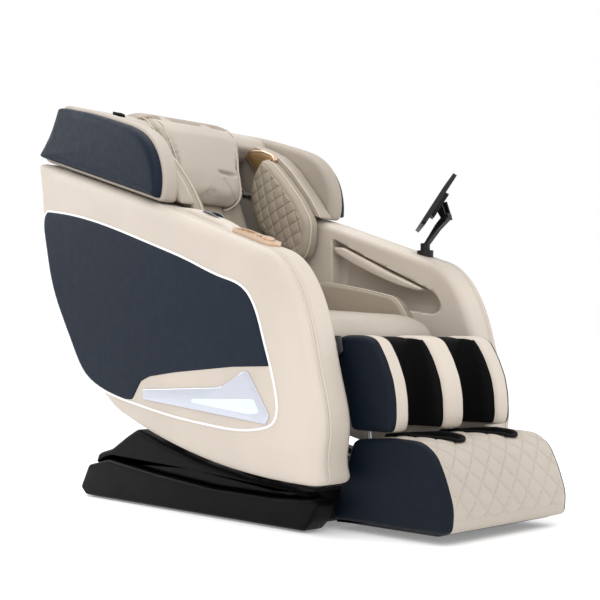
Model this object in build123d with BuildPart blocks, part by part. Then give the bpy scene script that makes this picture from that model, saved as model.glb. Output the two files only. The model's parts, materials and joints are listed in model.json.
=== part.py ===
"""Zero-gravity massage chair: a padded body that slides and tilts on a fixed base.

Frame: millimetres, +Z up, the sitter faces -Y and the sitter's left is +X.
The origin is on the floor under the middle of the base.
Outlines are (y, z) pairs, because most pieces are slabs along X.
"""
from build123d import *
import math
import os

os.makedirs("parts", exist_ok=True)

# ---- driving dimensions ----
seat_width = 530          # between the two arm panels
arm_width = 115           # one arm, panel and shell together
shell_depth = 35          # outer tray of an arm
wing_depth = 30           # outer tray of a wing
wing_rim = 50             # padded rim inside a wing tray
shell_wall = 15
wing_reveal = 3           # how far the rim sits inside the tray's edge
leg_gap = 30              # leg rest to arm panel, each side
divider_width = 80        # middle wall of the leg rest
trough_width = 130        # one calf trough
hood_y, hood_z = 68, 850  # front lower corner of a wing
hood_height = 349         # that corner to the top of the wing
hood_slope = 0.306        # rise of the wing's lower edge
hood_gap = 6              # wing to arm
back_lean = 24            # degrees from vertical
back_thickness = 95       # measured along Y
back_y, back_z = 188, 572  # front edge of the back cushion where it meets the seat
seat_deck = 425           # top of the seat pan
tilt_pivot = (200, 300)
calf_hinge = (-500, 455)
pivot_shaft = 24          # diameter
calf_shaft_size = 18      # diameter
frame_plate = 8
running_gap = 0.3         # between pieces that slide or turn past each other
soft_gap = 1.0            # between padded pieces
rail_height = 12
rail_top = 112            # top of the slide rails above the floor
foot_pad_height = 8
inlay_depth = 4
piping_width = 5

# ---- stations across the chair, measured from its middle ----
arm_in = seat_width / 2
half = arm_in + arm_width
seam = half - shell_depth
wing_seam = half - wing_depth
wing_in = wing_seam - wing_rim
leg_half = arm_in - leg_gap
plate_in = leg_half + 5
plate_out = plate_in + frame_plate
tower_in = arm_in - 75
beam_in = arm_in - 50
beam_out = arm_in - 20
cushion_half = arm_in - 69
lean = math.tan(math.radians(back_lean))
hood_share = hood_height / 349   # cheek heights were laid out for a hood this high


def hood(dy, dz):
    """A point measured from the front lower corner of the wing; heights follow the hood."""
    return (hood_y + dy, hood_z + dz * hood_share)


def crest(dy, dz):
    """A point measured from the top rear corner of the wing."""
    return (hood_y + 502 + dy, hood_z + hood_height + dz)


def sill(y):
    """Height of the wing's lower edge at y."""
    return hood_z + hood_slope * hood_share * (y - hood_y)


def back_front(z):
    """Y of the front face of the back cushion at height z."""
    return back_y + lean * (z - back_z)


def slab(outline, x_from, x_to, mode=Mode.ADD):
    """Extrude a straight-sided (y, z) outline between two stations."""
    with BuildSketch(Plane.YZ.offset(x_from)) as face:
        with BuildLine():
            Polyline(*outline, close=True)
        make_face()
    extrude(face.sketch, amount=x_to - x_from, mode=mode)


def block(x_span, y_span, z_span, mode=Mode.ADD):
    """A box given by its spans."""
    spans = (x_span, y_span, z_span)
    centre = [(low + high) / 2 for low, high in spans]
    with Locations(tuple(centre)):
        Box(*(high - low for low, high in spans), mode=mode)


def rod(point, radius, x_from, x_to, mode=Mode.ADD):
    """A cylinder along X through a (y, z) point."""
    with BuildSketch(Plane.YZ.offset(x_from)) as disc:
        with Locations(point):
            Circle(radius)
    extrude(disc.sketch, amount=x_to - x_from, mode=mode)


def save(piece, name):
    """Label a finished piece and write it."""
    piece.part.label = name
    export_step(piece.part, f"parts/{name}.step")


def moved_outline(face, distance, count=150):
    """Points of a face's outline moved outward, or inward when negative, skipping crossings at a corner."""
    plane_face = face.face()
    wire = plane_face.outer_wire()
    points = []
    for step in range(count):
        spot = wire.position_at(step / count)
        way = Vector(1, 0, 0).cross(wire.tangent_at(step / count)).normalized() * abs(distance)
        for moved in (spot + way, spot - way):
            clear = wire.distance_to(Vertex(*moved)) > abs(distance) * 0.98
            if clear and plane_face.is_inside(moved) == (distance < 0):
                points.append((moved.Y, moved.Z))
    return points


# ---- outlines that several pieces share ----
spine = [(266, 272), (436, 407), (577, 581), hood(579, -76), hood(608, 180)]


def crown_face(station):
    """Side outline of an arm: arc below, rounded front, straight crest under the wing."""
    with BuildSketch(Plane.YZ.offset(station)) as face:
        with BuildLine():
            back = Spline(*spine)
            under_wing = Line(spine[-1], hood(-6, -hood_gap - 2))
            crest_line = Line(under_wing @ 1, (-362, 700))
            Spline(crest_line @ 1, (-423, 671), (-502, 560), (-556, 372), (-580, 240), (-576, 150), (-540, 121),
                   tangents=[(-1, -0.2), (1, -0.1)])
            ThreePointArc((-540, 121), (-112, 162), spine[0])
        make_face()
    return face.sketch


def wing_face(station):
    """Side outline of a wing, the hood's cheek."""
    with BuildSketch(Plane.YZ.offset(station)) as face:
        with BuildLine():
            brow = Spline(hood(0, 0), hood(-12, 81), hood(46, 189), hood(187, 258), hood(337, 306), crest(0, 0))
            Polyline(brow @ 1, hood(618, 202), hood(607, hood_slope * 607), hood(0, 0))
        make_face()
    return face.sketch


def inlay_face(station):
    """The smooth loop that the piping follows on the outer face of an arm."""
    with BuildSketch(Plane.YZ.offset(station)) as face:
        with BuildLine():
            Spline((620, 868), (350, 814), (67, 728), (-102, 672), (-221, 629), (-316, 592), (-356, 540),
                   (-383, 471), (-427, 342), (-425, 272), (-376, 252), (-191, 250), (-30, 266), (145, 293),
                   (330, 336), (400, 372), (480, 470), (590, 650), (632, 790), (636, 850), periodic=True)
        make_face()
    return face.sketch


# ================= base =================
base_back, base_front = 430, -435
beam_low = foot_pad_height + 32
beam_high = rail_top - rail_height

with BuildPart() as base_frame:
    for side in (-1, 1):
        block(sorted((side * beam_in, side * beam_out)), (base_front, base_back), (beam_low, beam_high))
    for y in (base_front + 20, base_back - 20):
        block((-beam_in, beam_in), (y - 20, y + 20), (beam_low, beam_high - 6))
    block((-beam_in, beam_in), (-20, 20), (beam_low, beam_low + 16))
    for side in (-1, 1):
        for y in (base_front + 20, base_back - 20):
            block(sorted((side * beam_out, side * (arm_in + 30))), (y - 20, y + 20), (beam_low, beam_low + 30))
save(base_frame, "base_frame")

with BuildPart() as slide_rails:
    for side in (-1, 1):
        middle = side * (beam_in + beam_out) / 2
        block((middle - 8, middle + 8), (-330, 330), (beam_high, rail_top))
save(slide_rails, "slide_rails")

power_x = 110
skirt_in = arm_in + 2
skirt_out = half - 48
skirt_low = foot_pad_height - 3
with BuildPart() as base_skirt_left:
    lower = [(473, skirt_low), (500, 26), (458, 96), (357, 118), (122, 95), (-131, 77), (-356, 76), (-512, 84),
             (-525, 76), (-500, 30), (-473, skirt_low)]
    slab(lower, skirt_in, skirt_out)
    upper = [(452, 71), (434, 132), (368, 148), (290, 190), (238, 214), (110, 178), (-60, 140), (-220, 116),
             (-380, 102), (-468, 95), (-490, 72)]
    slab(upper, skirt_in, skirt_out - 18)
    block((skirt_in + 6, skirt_out - 24), (base_front + 45, base_back - 45), (skirt_low - 1, 68),
          mode=Mode.SUBTRACT)
    for y in (base_front + 20, base_back - 20):
        block((skirt_in - 1, arm_in + 30 + running_gap), (y - 20.5, y + 20.5), (skirt_low - 1, beam_low + 30.5),
              mode=Mode.SUBTRACT)
with BuildPart() as base_skirt_right:
    mirror(base_skirt_left.part, about=Plane.YZ)
save(base_skirt_left, "base_skirt_left")
save(base_skirt_right, "base_skirt_right")

with BuildPart() as base_covers:
    slab([(base_front - 1, 12), (base_front - 9, 20), (base_front - 9, 92), (base_front - 1, 98)],
         -skirt_in + 1, skirt_in - 1)
    slab([(base_back + 1, 12), (base_back + 7, 18), (base_back + 7, 96), (base_back + 1, 104)],
         -skirt_in + 1, skirt_in - 1)
    block((power_x - 61, power_x + 61), (base_back, base_back + 8), (beam_low + 3, beam_high + 15),
          mode=Mode.SUBTRACT)
save(base_covers, "base_covers")

with BuildPart() as rubber_feet:
    for side in (-1, 1):
        for y in (base_front + 20, base_back - 20):
            with Locations((side * (arm_in + 10), y, beam_low / 2)):
                Cylinder(17, beam_low)
    with Locations((0, 0, beam_low / 2)):
        Cylinder(17, beam_low)
save(rubber_feet, "rubber_feet")

with BuildPart() as power_box:
    block((power_x - 60, power_x + 60), (base_back + 1, base_back + 36), (beam_low + 4, beam_high + 14))
    switch_face = base_back + 36
    block((power_x + 14, power_x + 44), (switch_face - 12, switch_face + 1), (70, 90), mode=Mode.SUBTRACT)
    block((power_x - 42, power_x - 14), (switch_face - 18, switch_face + 1), (69, 91), mode=Mode.SUBTRACT)
    for dx, dz in ((-7, -3), (0, 4), (7, -3)):
        block((power_x - 29 + dx, power_x - 27 + dx), (switch_face - 19, switch_face - 4), (78 + dz, 82 + dz))
save(power_box, "power_box")

with BuildPart() as power_switch:
    rocker = [(switch_face - 7, 72), (switch_face + 1, 71.5), (switch_face + 3.5, 88.5), (switch_face - 7, 88)]
    slab(rocker, power_x + 16, power_x + 42)
    rod((switch_face - 6, 80), 2, power_x + 14.5, power_x + 43.5)
save(power_switch, "power_switch")

slide_axis = 78           # height of the slide actuator
with BuildPart() as slide_motor:
    block((-30, 30), (base_back - 150, base_back - 41), (slide_axis - 30, slide_axis + 22))
    block((-16, 16), (20.5, base_back - 150), (slide_axis - 16, slide_axis + 16))
    with BuildSketch(Plane.XZ.offset(-19)) as bore:
        with Locations((0, slide_axis)):
            Circle(9.5)
    extrude(bore.sketch, amount=-240, mode=Mode.SUBTRACT)
save(slide_motor, "slide_motor")

wheel_point = (base_back - 75, 36)
with BuildPart() as transport_wheels:
    rod(wheel_point, 5, -beam_in + 4, beam_in - 4)
    for side in (-1, 1):
        rod(wheel_point, 27, *sorted((side * (beam_in - 34), side * (beam_in - 10))))
save(transport_wheels, "transport_wheels")

with BuildPart() as wheel_brackets:
    for side in (-1, 1):
        plate = [(wheel_point[0] - 14, 24), (wheel_point[0] + 14, 24), (wheel_point[0] + 22, beam_low + 2),
                 (wheel_point[0] + 30, beam_high - 6), (wheel_point[0] - 14, beam_high - 6)]
        slab(plate, *sorted((side * (beam_in - 7), side * (beam_in - 0.5))))
        rod(wheel_point, 5 + running_gap, -beam_in, beam_in, mode=Mode.SUBTRACT)
save(wheel_brackets, "wheel_brackets")

# ================= carriage =================
deck_low = rail_top + 7
deck_high = deck_low + 10
tilt_foot = (-70, 152)    # lower pivot of the tilt actuator
with BuildPart() as slide_carriage:
    for side in (-1, 1):
        block(sorted((side * (tower_in - 12), side * beam_out)), (-220, 250), (deck_low, deck_high))
        tower = [(120, deck_low), (250, deck_low), (tilt_pivot[0] + 26, tilt_pivot[1] + 16),
                 (tilt_pivot[0] + 12, tilt_pivot[1] + 28), (tilt_pivot[0] - 12, tilt_pivot[1] + 28),
                 (tilt_pivot[0] - 26, tilt_pivot[1] + 16)]
        slab(tower, *sorted((side * tower_in, side * (tower_in + frame_plate))))
        rod(tilt_pivot, pivot_shaft / 2, *sorted((side * tower_in, side * (plate_out + 6))))
    for y in (-210, -70, 235):
        block((-tower_in + 12, tower_in - 12), (y - 12, y + 12), (deck_low, deck_high))
    for side in (-1, 1):
        lug = [(-88, deck_high), (-52, deck_high), (-56, tilt_foot[1] + 12), (-84, tilt_foot[1] + 12)]
        slab(lug, *sorted((side * 16, side * 22)))
    rod(tilt_foot, 6, -22, 22)
    block((-10, 10), (-24, -8), (slide_axis - 10, deck_high))
    block((-10, 10), (-82, -8), (deck_low, deck_high))
save(slide_carriage, "slide_carriage")

with BuildPart() as carriage_glides:
    for side in (-1, 1):
        middle = side * (beam_in + beam_out) / 2
        for y in (-190, 210):
            block((middle - 14, middle + 14), (y - 26, y + 26), (rail_top - 8, deck_low))
            block((middle - 8 - running_gap, middle + 8 + running_gap), (y - 27, y + 27),
                  (rail_top - 9, rail_top + running_gap), mode=Mode.SUBTRACT)
save(carriage_glides, "carriage_glides")

with BuildPart() as slide_rod:
    with BuildSketch(Plane.XZ.offset(8)) as section:
        with Locations((0, slide_axis)):
            Circle(8)
    extrude(section.sketch, amount=-210)
save(slide_rod, "slide_rod")

# ================= tilt actuator =================
tilt_head = (-40, 374)    # upper pivot, on the body's frame
run_y, run_z = tilt_head[0] - tilt_foot[0], tilt_head[1] - tilt_foot[1]
run_length = math.hypot(run_y, run_z)
along = Vector(0, run_y, run_z).normalized()
tilt_plane = Plane(origin=(0, *tilt_foot), x_dir=(1, 0, 0), z_dir=along)
eye_slack = 4.5           # the open pivot's clearance

with BuildPart() as tilt_motor:
    with BuildSketch(tilt_plane.offset(18)) as tube:
        Circle(17)
    extrude(tube.sketch, amount=run_length - 78)
    rod(tilt_foot, 14, -14, 14)
    with BuildSketch(tilt_plane.offset(30)) as can:
        with Locations((0, 32)):
            RectangleRounded(44, 40, 10)
    extrude(can.sketch, amount=86)
    with BuildSketch(tilt_plane.offset(6)) as neck:
        Rectangle(22, 24)
    extrude(neck.sketch, amount=16)
    rod(tilt_foot, 6 + running_gap, -16, 16, mode=Mode.SUBTRACT)
    with BuildSketch(tilt_plane.offset(28)) as bore:
        Circle(10 + running_gap)
    extrude(bore.sketch, amount=run_length, mode=Mode.SUBTRACT)
save(tilt_motor, "tilt_motor")

with BuildPart() as tilt_rod:
    with BuildSketch(tilt_plane.offset(32)) as shank:
        Circle(10)
    extrude(shank.sketch, amount=run_length - 48)
    rod(tilt_head, 14, -9, 9)
    rod(tilt_head, 6 + eye_slack, -10, 10, mode=Mode.SUBTRACT)
save(tilt_rod, "tilt_rod")

# ================= body frame =================
upright_foot = (back_y + 84, seat_deck - 40)


def upright(offset_y, z):
    """A point beside the middle line of the back uprights."""
    return (upright_foot[0] + lean * (z - upright_foot[1]) + offset_y, z)


upright_top = hood_z + hood_height - 115
back_plane = Plane(origin=(0, *upright_foot), x_dir=(1, 0, 0),
                   z_dir=(0, math.cos(math.radians(back_lean)), -math.sin(math.radians(back_lean))))


def down_back(z):
    """Distance along the back plane's y, which runs down the back, of the uprights at height z."""
    return (upright_foot[1] - z) / math.cos(math.radians(back_lean))


def back_block(z, width, height, near, depth, x=0):
    """A box on the back plane, from a distance behind the uprights' middle line towards the rear."""
    with BuildSketch(back_plane.offset(near)) as face:
        with Locations((x, down_back(z))):
            Rectangle(width, height)
    extrude(face.sketch, amount=depth)


cross_near, cross_thick = 17, 6
pump_z, control_z = 510, 790
side_plate = [(-522, 440), (-440, 384), (-120, 330), (150, 272), (245, 272), (278, 330), upright(27, 430),
              upright(27, upright_top), upright(-27, upright_top), upright(-27, 455), (150, seat_deck),
              (-440, seat_deck), (-482, 478), (-516, 478)]
with BuildPart() as main_frame:
    for side in (-1, 1):
        slab(side_plate, *sorted((side * plate_in, side * plate_out)))
        rod(tilt_pivot, pivot_shaft / 2 + running_gap / 3, -plate_out - 1, plate_out + 1, mode=Mode.SUBTRACT)
        rod(calf_hinge, calf_shaft_size / 2 + running_gap / 3, -plate_out - 1, plate_out + 1, mode=Mode.SUBTRACT)
    for y in (-425, -40):
        block((-plate_in, plate_in), (y - 15, y + 15), (seat_deck - 34, seat_deck - 6))
    block((-plate_in, plate_in), (-438, 120), (seat_deck - 6, seat_deck))
    for z, height in ((upright_top - 40, 40), (640, 40), (pump_z, 80), (control_z, 70)):
        back_block(z, 2 * plate_in, height, cross_near, cross_thick)
    for side in (-1, 1):
        lug = [(-54, seat_deck - 34), (-26, seat_deck - 34), (-27, tilt_head[1] - 12), (-53, tilt_head[1] - 12)]
        slab(lug, *sorted((side * 12, side * 18)))
        for point in ((-380, seat_deck - 18), (100, seat_deck - 60), upright(0, 640)):
            rod(point, 14, *sorted((side * plate_out, side * (arm_in - 0.5))))
        rod(upright(0, upright_top - 30), 14, *sorted((side * plate_out, side * (wing_in - 0.5))))
    rod(tilt_head, 6, -18, 18)
save(main_frame, "main_frame")

rail_low, rail_high = -110, -700
track_depth = 30
with BuildPart() as massage_rails:
    for side in (-1, 1):
        with BuildSketch(back_plane.offset(-track_depth / 2)) as web:
            with Locations((side * (plate_in - 4), (rail_low + rail_high) / 2)):
                Rectangle(7, rail_low - rail_high)
        extrude(web.sketch, amount=track_depth)
        for level in (-track_depth / 2, track_depth / 2 - 4):
            with BuildSketch(back_plane.offset(level)) as flange:
                with Locations((side * (plate_in - 16), (rail_low + rail_high) / 2)):
                    Rectangle(24, rail_low - rail_high)
            extrude(flange.sketch, amount=4)
save(massage_rails, "massage_rails")

trolley_at = -200         # rest place along the track
trolley_height = 120
trolley_half = plate_in - 30
with BuildPart() as massage_trolley:
    with BuildSketch(back_plane.offset(-20)) as chassis:
        with Locations((0, trolley_at)):
            Rectangle(2 * trolley_half, trolley_height)
        with Locations((0, trolley_at)):
            Rectangle(2 * trolley_half - 90, trolley_height - 60, mode=Mode.SUBTRACT)
    extrude(chassis.sketch, amount=30)
    for side in (-1, 1):
        for dy in (-40, 40):
            with BuildSketch(back_plane.offset(-10)) as guide:
                with Locations((side * (trolley_half + 9), trolley_at + dy)):
                    Rectangle(19, 26)
            extrude(guide.sketch, amount=20)
        with BuildSketch(back_plane.offset(-44)) as ear:
            with Locations((side * (trolley_half - 30), trolley_at)):
                Rectangle(10, 40)
        extrude(ear.sketch, amount=30)
    axle_plane = back_plane.offset(-34)
    axle_point = axle_plane.from_local_coords((0, trolley_at, 0))
    rod((axle_point.Y, axle_point.Z), 6 + running_gap / 3, -trolley_half, trolley_half, mode=Mode.SUBTRACT)
save(massage_trolley, "massage_trolley")

with BuildPart() as kneading_rollers:
    axle = (axle_point.Y, axle_point.Z)
    rod(axle, 6, -trolley_half + 24, trolley_half - 24)
    for side in (-1, 1):
        for x in (45, 105):
            rod(axle, 26, *sorted((side * (x - 11), side * (x + 11))))
save(kneading_rollers, "kneading_rollers")

with BuildPart() as leg_motor:
    block((plate_in - 64, plate_in - 1), (-436, -376), (seat_deck - 92, seat_deck - 35))
    slab([(calf_hinge[0] + 30, calf_hinge[1] - 62), (-376, seat_deck - 75), (-376, seat_deck - 92),
          (calf_hinge[0] + 30, calf_hinge[1] - 72)], plate_in - 20, plate_in - 1)
save(leg_motor, "leg_motor")

with BuildPart() as air_pump:
    back_block(pump_z, 170, 84, cross_near + cross_thick, 92, x=-65)
save(air_pump, "air_pump")

with BuildPart() as control_box:
    back_block(control_z, 220, 84, cross_near + cross_thick, 58)
save(control_box, "control_box")

shell_thick = 12


def shifted(points, dy):
    """Points moved along Y."""
    return [(y + dy, z) for y, z in points]


with BuildPart() as rear_shell:
    rear_line = [(286, 290), *spine[1:4], hood(606, 150), crest(56, -70), crest(26, -24)]
    with BuildSketch(Plane.YZ.offset(-arm_in + 2)) as sheet:
        with BuildLine():
            outer = Spline(*shifted(rear_line, -6))
            inner = Spline(*shifted(rear_line, -6 - shell_thick))
            Line(outer @ 0, inner @ 0)
            Line(outer @ 1, inner @ 1)
        make_face()
    extrude(sheet.sketch, amount=2 * arm_in - 4)
save(rear_shell, "rear_shell")

# ================= seat and back =================
with BuildPart() as seat_cushion:
    slab([(-446, 487), (-411, 520), (-351, 533), (-17, 557), (back_y - 10, back_z - 10), (back_y + 40, 512),
          (back_y + 30, seat_deck + 22), (back_y, seat_deck), (-430, seat_deck), (-448, 450)], -arm_in + 35, arm_in - 35)
save(seat_cushion, "seat_cushion")

back_top = hood_z + hood_height - 79
brow_corner = (-175, -32)
with BuildPart() as back_cushion:
    rear_low, rear_top = 514, back_top
    slab([(back_y, back_z), (back_y + 48, rear_low), (back_front(rear_low) + back_thickness, rear_low + 6),
          (back_front(rear_top) + back_thickness, rear_top), crest(-10, -50), crest(0, -20), crest(-10, -12),
          crest(-100, -16), crest(*brow_corner), (back_front(hood_z + hood_height - 62), hood_z + hood_height - 62)],
         -cushion_half, cushion_half)
save(back_cushion, "back_cushion")

pillow_pivot = crest(-132, -8)
pillow_half = 145
pillow_low = hood_z + 32
pillow_high = hood_z + hood_height - 64
# the pillow's rear top edge follows a circle round its pivot, so it swings clear of the hood's brow
brow_reach = math.dist(pillow_pivot, crest(*brow_corner)) + 3
brow_clear = [(pillow_pivot[0] + brow_reach * math.cos(math.radians(turn)),
               pillow_pivot[1] + brow_reach * math.sin(math.radians(turn))) for turn in (-102, -116, -130, -143)]
with BuildPart() as head_pillow:
    slab([(back_front(pillow_low) - soft_gap * 2, pillow_low), (back_front(pillow_high) - soft_gap * 2, pillow_high),
          *brow_clear, crest(-178, -33), crest(-177, -27), crest(-132, -15), crest(-130, -4), crest(-190, -8), crest(-226, -30),
          crest(-252, -102), crest(-276, -190), crest(-288, -270), (288, pillow_low + 22), (300, pillow_low)],
         -pillow_half, pillow_half)
save(head_pillow, "head_pillow")

# ================= arms =================
piping_outline = moved_outline(inlay_face(half), piping_width)
with BuildPart() as side_shell_left:
    extrude(crown_face(seam), amount=shell_depth)
    slab(moved_outline(crown_face(seam), -shell_wall), seam - 1, half - shell_wall, mode=Mode.SUBTRACT)
    slab(piping_outline, half - inlay_depth, half + 1, mode=Mode.SUBTRACT)
with BuildPart() as side_shell_right:
    mirror(side_shell_left.part, about=Plane.YZ)
save(side_shell_left, "side_shell_left")
save(side_shell_right, "side_shell_right")

lower_zone = [(400, 302), (163, 302), (123, 354), (83, 368), (-29, 381), (-266, 399), (-480, 404), (-480, 200),
              (400, 200)]
with BuildPart() as side_inlays:
    extrude(inlay_face(half - inlay_depth), amount=inlay_depth)
    slab(lower_zone, half - inlay_depth - 1, half + 1, mode=Mode.SUBTRACT)
    mirror(about=Plane.YZ)
save(side_inlays, "side_inlays")

with BuildPart() as side_piping:
    slab(piping_outline, half - inlay_depth, half + 2)
    extrude(inlay_face(half - inlay_depth), amount=inlay_depth + 2, mode=Mode.SUBTRACT)
    mirror(about=Plane.YZ)
save(side_piping, "side_piping")

trim = [(114, 333), (109, 305), (-396, 261), (-409, 281), (-329, 389), (-311, 390), (-289, 378), (-252, 358),
        (-214, 347)]
lens = [(-108, 315), (-108, 304), (-340, 283), (-374, 288), (-354, 321)]
with BuildPart() as side_trims:
    slab(trim, half - inlay_depth, half + 1)
    slab(lens, half - 2, half + 2, mode=Mode.SUBTRACT)
    mirror(about=Plane.YZ)
save(side_trims, "side_trims")

with BuildPart() as light_lenses:
    slab(lens, half - 2, half + 2)
    mirror(about=Plane.YZ)
save(light_lenses, "light_lenses")

arm_cavity = [(17, 791), (17, 610), (-100, 590), (-300, 554), (-337, 548), (-399, 541), (-417, 551), (-419, 568),
              (-409, 589), (-382, 611), (-337, 630), (-220, 681), (-122, 723), (-31, 766)]
with BuildPart() as arm_panel_left:
    extrude(crown_face(arm_in), amount=seam - arm_in - 0.5)
    slab(arm_cavity, arm_in - 1, seam - 16, mode=Mode.SUBTRACT)
with BuildPart() as arm_panel_right:
    mirror(arm_panel_left.part, about=Plane.YZ)
save(arm_panel_left, "arm_panel_left")
save(arm_panel_right, "arm_panel_right")

with BuildPart() as arm_flaps:
    slab([(5, 758), (-32, 755), (-129, 712), (-226, 668), (-302, 637), (-350, 616), (-338, 610), (-264, 628),
          (-217, 644), (-158, 667), (-83, 698), (-6, 738)], arm_in - 4, seam - 17)
    mirror(about=Plane.YZ)
save(arm_flaps, "arm_flaps")

with BuildPart() as hip_pads:
    slab([(42, 645), (-1, 645), (-147, 620), (-259, 596), (-288, 576), (-304, 553), (-315, 536), (-330, 430),
          (40, 430)], arm_in - 33, arm_in - 0.5)
    mirror(about=Plane.YZ)
save(hip_pads, "hip_pads")

# ================= wings =================
with BuildPart() as wing_shell_left:
    extrude(wing_face(wing_seam), amount=wing_depth)
    slab(moved_outline(wing_face(wing_seam), -shell_wall), wing_seam - 1, half - shell_wall, mode=Mode.SUBTRACT)
with BuildPart() as wing_shell_right:
    mirror(wing_shell_left.part, about=Plane.YZ)
save(wing_shell_left, "wing_shell_left")
save(wing_shell_right, "wing_shell_right")

with BuildPart() as wing_panel_left:
    slab(moved_outline(wing_face(wing_in), -wing_reveal), wing_in, wing_seam - 0.5)
with BuildPart() as wing_panel_right:
    mirror(wing_panel_left.part, about=Plane.YZ)
save(wing_panel_left, "wing_panel_left")
save(wing_panel_right, "wing_panel_right")

bolster_inner = [(84, 605), (100, 690), hood(54, -130), hood(223, -22), hood(258, 44), hood(266, 111),
                 hood(264, 178), crest(-160, -118), crest(-100, -22), crest(-8, -24), crest(-60, -82),
                 (back_front(back_top) + back_thickness, back_top - 14), (back_front(605) + back_thickness, 605)]
bolster_outer = [hood(54, -133), hood(12, -100), hood(-18, -39), hood(-23, 3), hood(24, 68), hood(112, 166),
                 hood(171, 216), hood(232, 246), crest(-165, -62), crest(-10, -20), crest(-6, -55),
                 hood(352, 110), hood(262, -20)]
with BuildPart() as shoulder_bolsters:
    slab(bolster_inner, cushion_half + 3, arm_in - 2)
    slab(bolster_outer, arm_in - 15, wing_in - 0.5)
    below = [(hood_y - 100, sill(hood_y - 100) + 4), (hood_y + 620, sill(hood_y + 620) + 4), (hood_y + 620, 500),
             (hood_y - 100, 500)]
    slab(below, arm_in - 1.5, wing_in + 1, mode=Mode.SUBTRACT)
    mirror(about=Plane.YZ)
save(shoulder_bolsters, "shoulder_bolsters")

shoulder_pad = [hood(200, 209), hood(163, 188), hood(104, 132), hood(42, 65), hood(-5, -3), hood(-9, -24),
                hood(-5, -77), hood(16, -121), hood(52, -128), hood(220, -20), hood(255, 46), hood(263, 111),
                hood(246, 160)]
speaker_in = arm_in - 35
with BuildPart() as shoulder_pad_left:
    slab(shoulder_pad, cushion_half + 4, arm_in - 16)
    slab([hood(-50, 150), hood(400, 150), hood(400, 300), hood(-50, 300)], speaker_in - 1, arm_in,
         mode=Mode.SUBTRACT)
with BuildPart() as shoulder_pad_right:
    mirror(shoulder_pad_left.part, about=Plane.YZ)
save(shoulder_pad_left, "shoulder_pad_left")
save(shoulder_pad_right, "shoulder_pad_right")

speaker = [hood(229, 152), hood(303, 236), hood(301, 252), hood(286, 260), hood(220, 252), hood(173, 233),
           hood(157, 212)]
with BuildPart() as speakers:
    slab(speaker, speaker_in, arm_in - 16)
    mirror(about=Plane.YZ)
save(speakers, "speakers")

# ================= controls =================
arm_slope = (hood_z - hood_gap - 2 - 700) / (hood_y - 6 + 362)
control_x = -(arm_in + 45)


def crest_height(y):
    """Height of the arm's straight crest at y."""
    return 700 + arm_slope * (y + 362)


arm_dir = Vector(0, 1, arm_slope).normalized()
arm_plane = Plane(origin=(control_x, -300, crest_height(-300) + 0.5), x_dir=(1, 0, 0),
                  z_dir=Vector(1, 0, 0).cross(arm_dir))
# On this plane x is across the chair, y runs up the arm to the rear and z stands on the arm.
knob_at, button_at = -22, 14
with BuildPart() as control_bezel:
    with BuildSketch(arm_plane) as plate:
        with Locations((0, 22)):
            RectangleRounded(58, 150, 14)
    extrude(plate.sketch, amount=10)
    with BuildSketch(arm_plane.offset(5)) as slot:
        with Locations((0, knob_at)):
            Circle(18)
        with Locations((0, button_at)):
            Circle(11 + running_gap)
        with Locations((0, 60)):
            RectangleRounded(38, 58, 6)
    extrude(slot.sketch, amount=6, mode=Mode.SUBTRACT)
    with BuildSketch(arm_plane.offset(5)) as boss:
        with Locations((0, knob_at)):
            Circle(4)
    extrude(boss.sketch, amount=8)
save(control_bezel, "control_bezel")

with BuildPart() as control_knob:
    with BuildSketch(arm_plane.offset(5 + running_gap)) as face:
        with Locations((0, knob_at)):
            Circle(16.5)
            Circle(4 + running_gap, mode=Mode.SUBTRACT)
    extrude(face.sketch, amount=8)
    with BuildSketch(arm_plane.offset(13 + running_gap)) as cap:
        with Locations((0, knob_at)):
            Circle(16.5)
            Rectangle(5, 28)
    extrude(cap.sketch, amount=3)
save(control_knob, "control_knob")

with BuildPart() as pause_button:
    with BuildSketch(arm_plane.offset(8)) as face:
        with Locations((0, button_at)):
            Circle(11)
    extrude(face.sketch, amount=5)
save(pause_button, "pause_button")

tablet_x = arm_in + 65
post_y = -306
with BuildPart() as tablet_post:
    with BuildSketch(Plane.XY.offset(crest_height(post_y) - 14)) as hole:
        with Locations((tablet_x, post_y)):
            Circle(24)
    extrude(hole.sketch, amount=28)
    slab([(-420, 600), (-420, crest_height(-420) + 0.5), (-200, crest_height(-200) + 0.5), (-200, 600)],
         tablet_x - 40, tablet_x + 40, mode=Mode.SUBTRACT)
    with BuildSketch(Plane.XY.offset(crest_height(post_y) + 14)) as pin:
        with Locations((tablet_x, post_y)):
            Circle(8)
    extrude(pin.sketch, amount=16)
save(tablet_post, "tablet_post")

ball = (-388, 826)
arm_base = crest_height(post_y) + 15
with BuildPart() as tablet_arm:
    with BuildSketch(Plane.XY.offset(arm_base)) as hub:
        with Locations((tablet_x, post_y)):
            Circle(14)
            Circle(8 + running_gap / 3, mode=Mode.SUBTRACT)
    extrude(hub.sketch, amount=15)
    with BuildSketch(Plane.XY.offset(arm_base + 15 + running_gap)) as cap:
        with Locations((tablet_x, post_y)):
            Circle(14)
    extrude(cap.sketch, amount=5)
    with BuildSketch(Plane.XY.offset(arm_base)) as collar:
        with Locations((tablet_x, post_y)):
            Circle(14)
            Circle(12, mode=Mode.SUBTRACT)
    extrude(collar.sketch, amount=20)
    slab([(post_y - 9, arm_base + 14), (post_y - 3, arm_base + 20), (-352, 806), (ball[0] + 4, ball[1] + 9),
          (ball[0] - 7, ball[1] + 5), (ball[0] - 9, ball[1] - 7), (-358, 790)], tablet_x - 9, tablet_x + 9)
    rod(ball, 11, tablet_x - 9, tablet_x + 9)
    rod(ball, 5 + running_gap / 3, tablet_x - 10, tablet_x + 10, mode=Mode.SUBTRACT)
save(tablet_arm, "tablet_arm")

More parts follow.
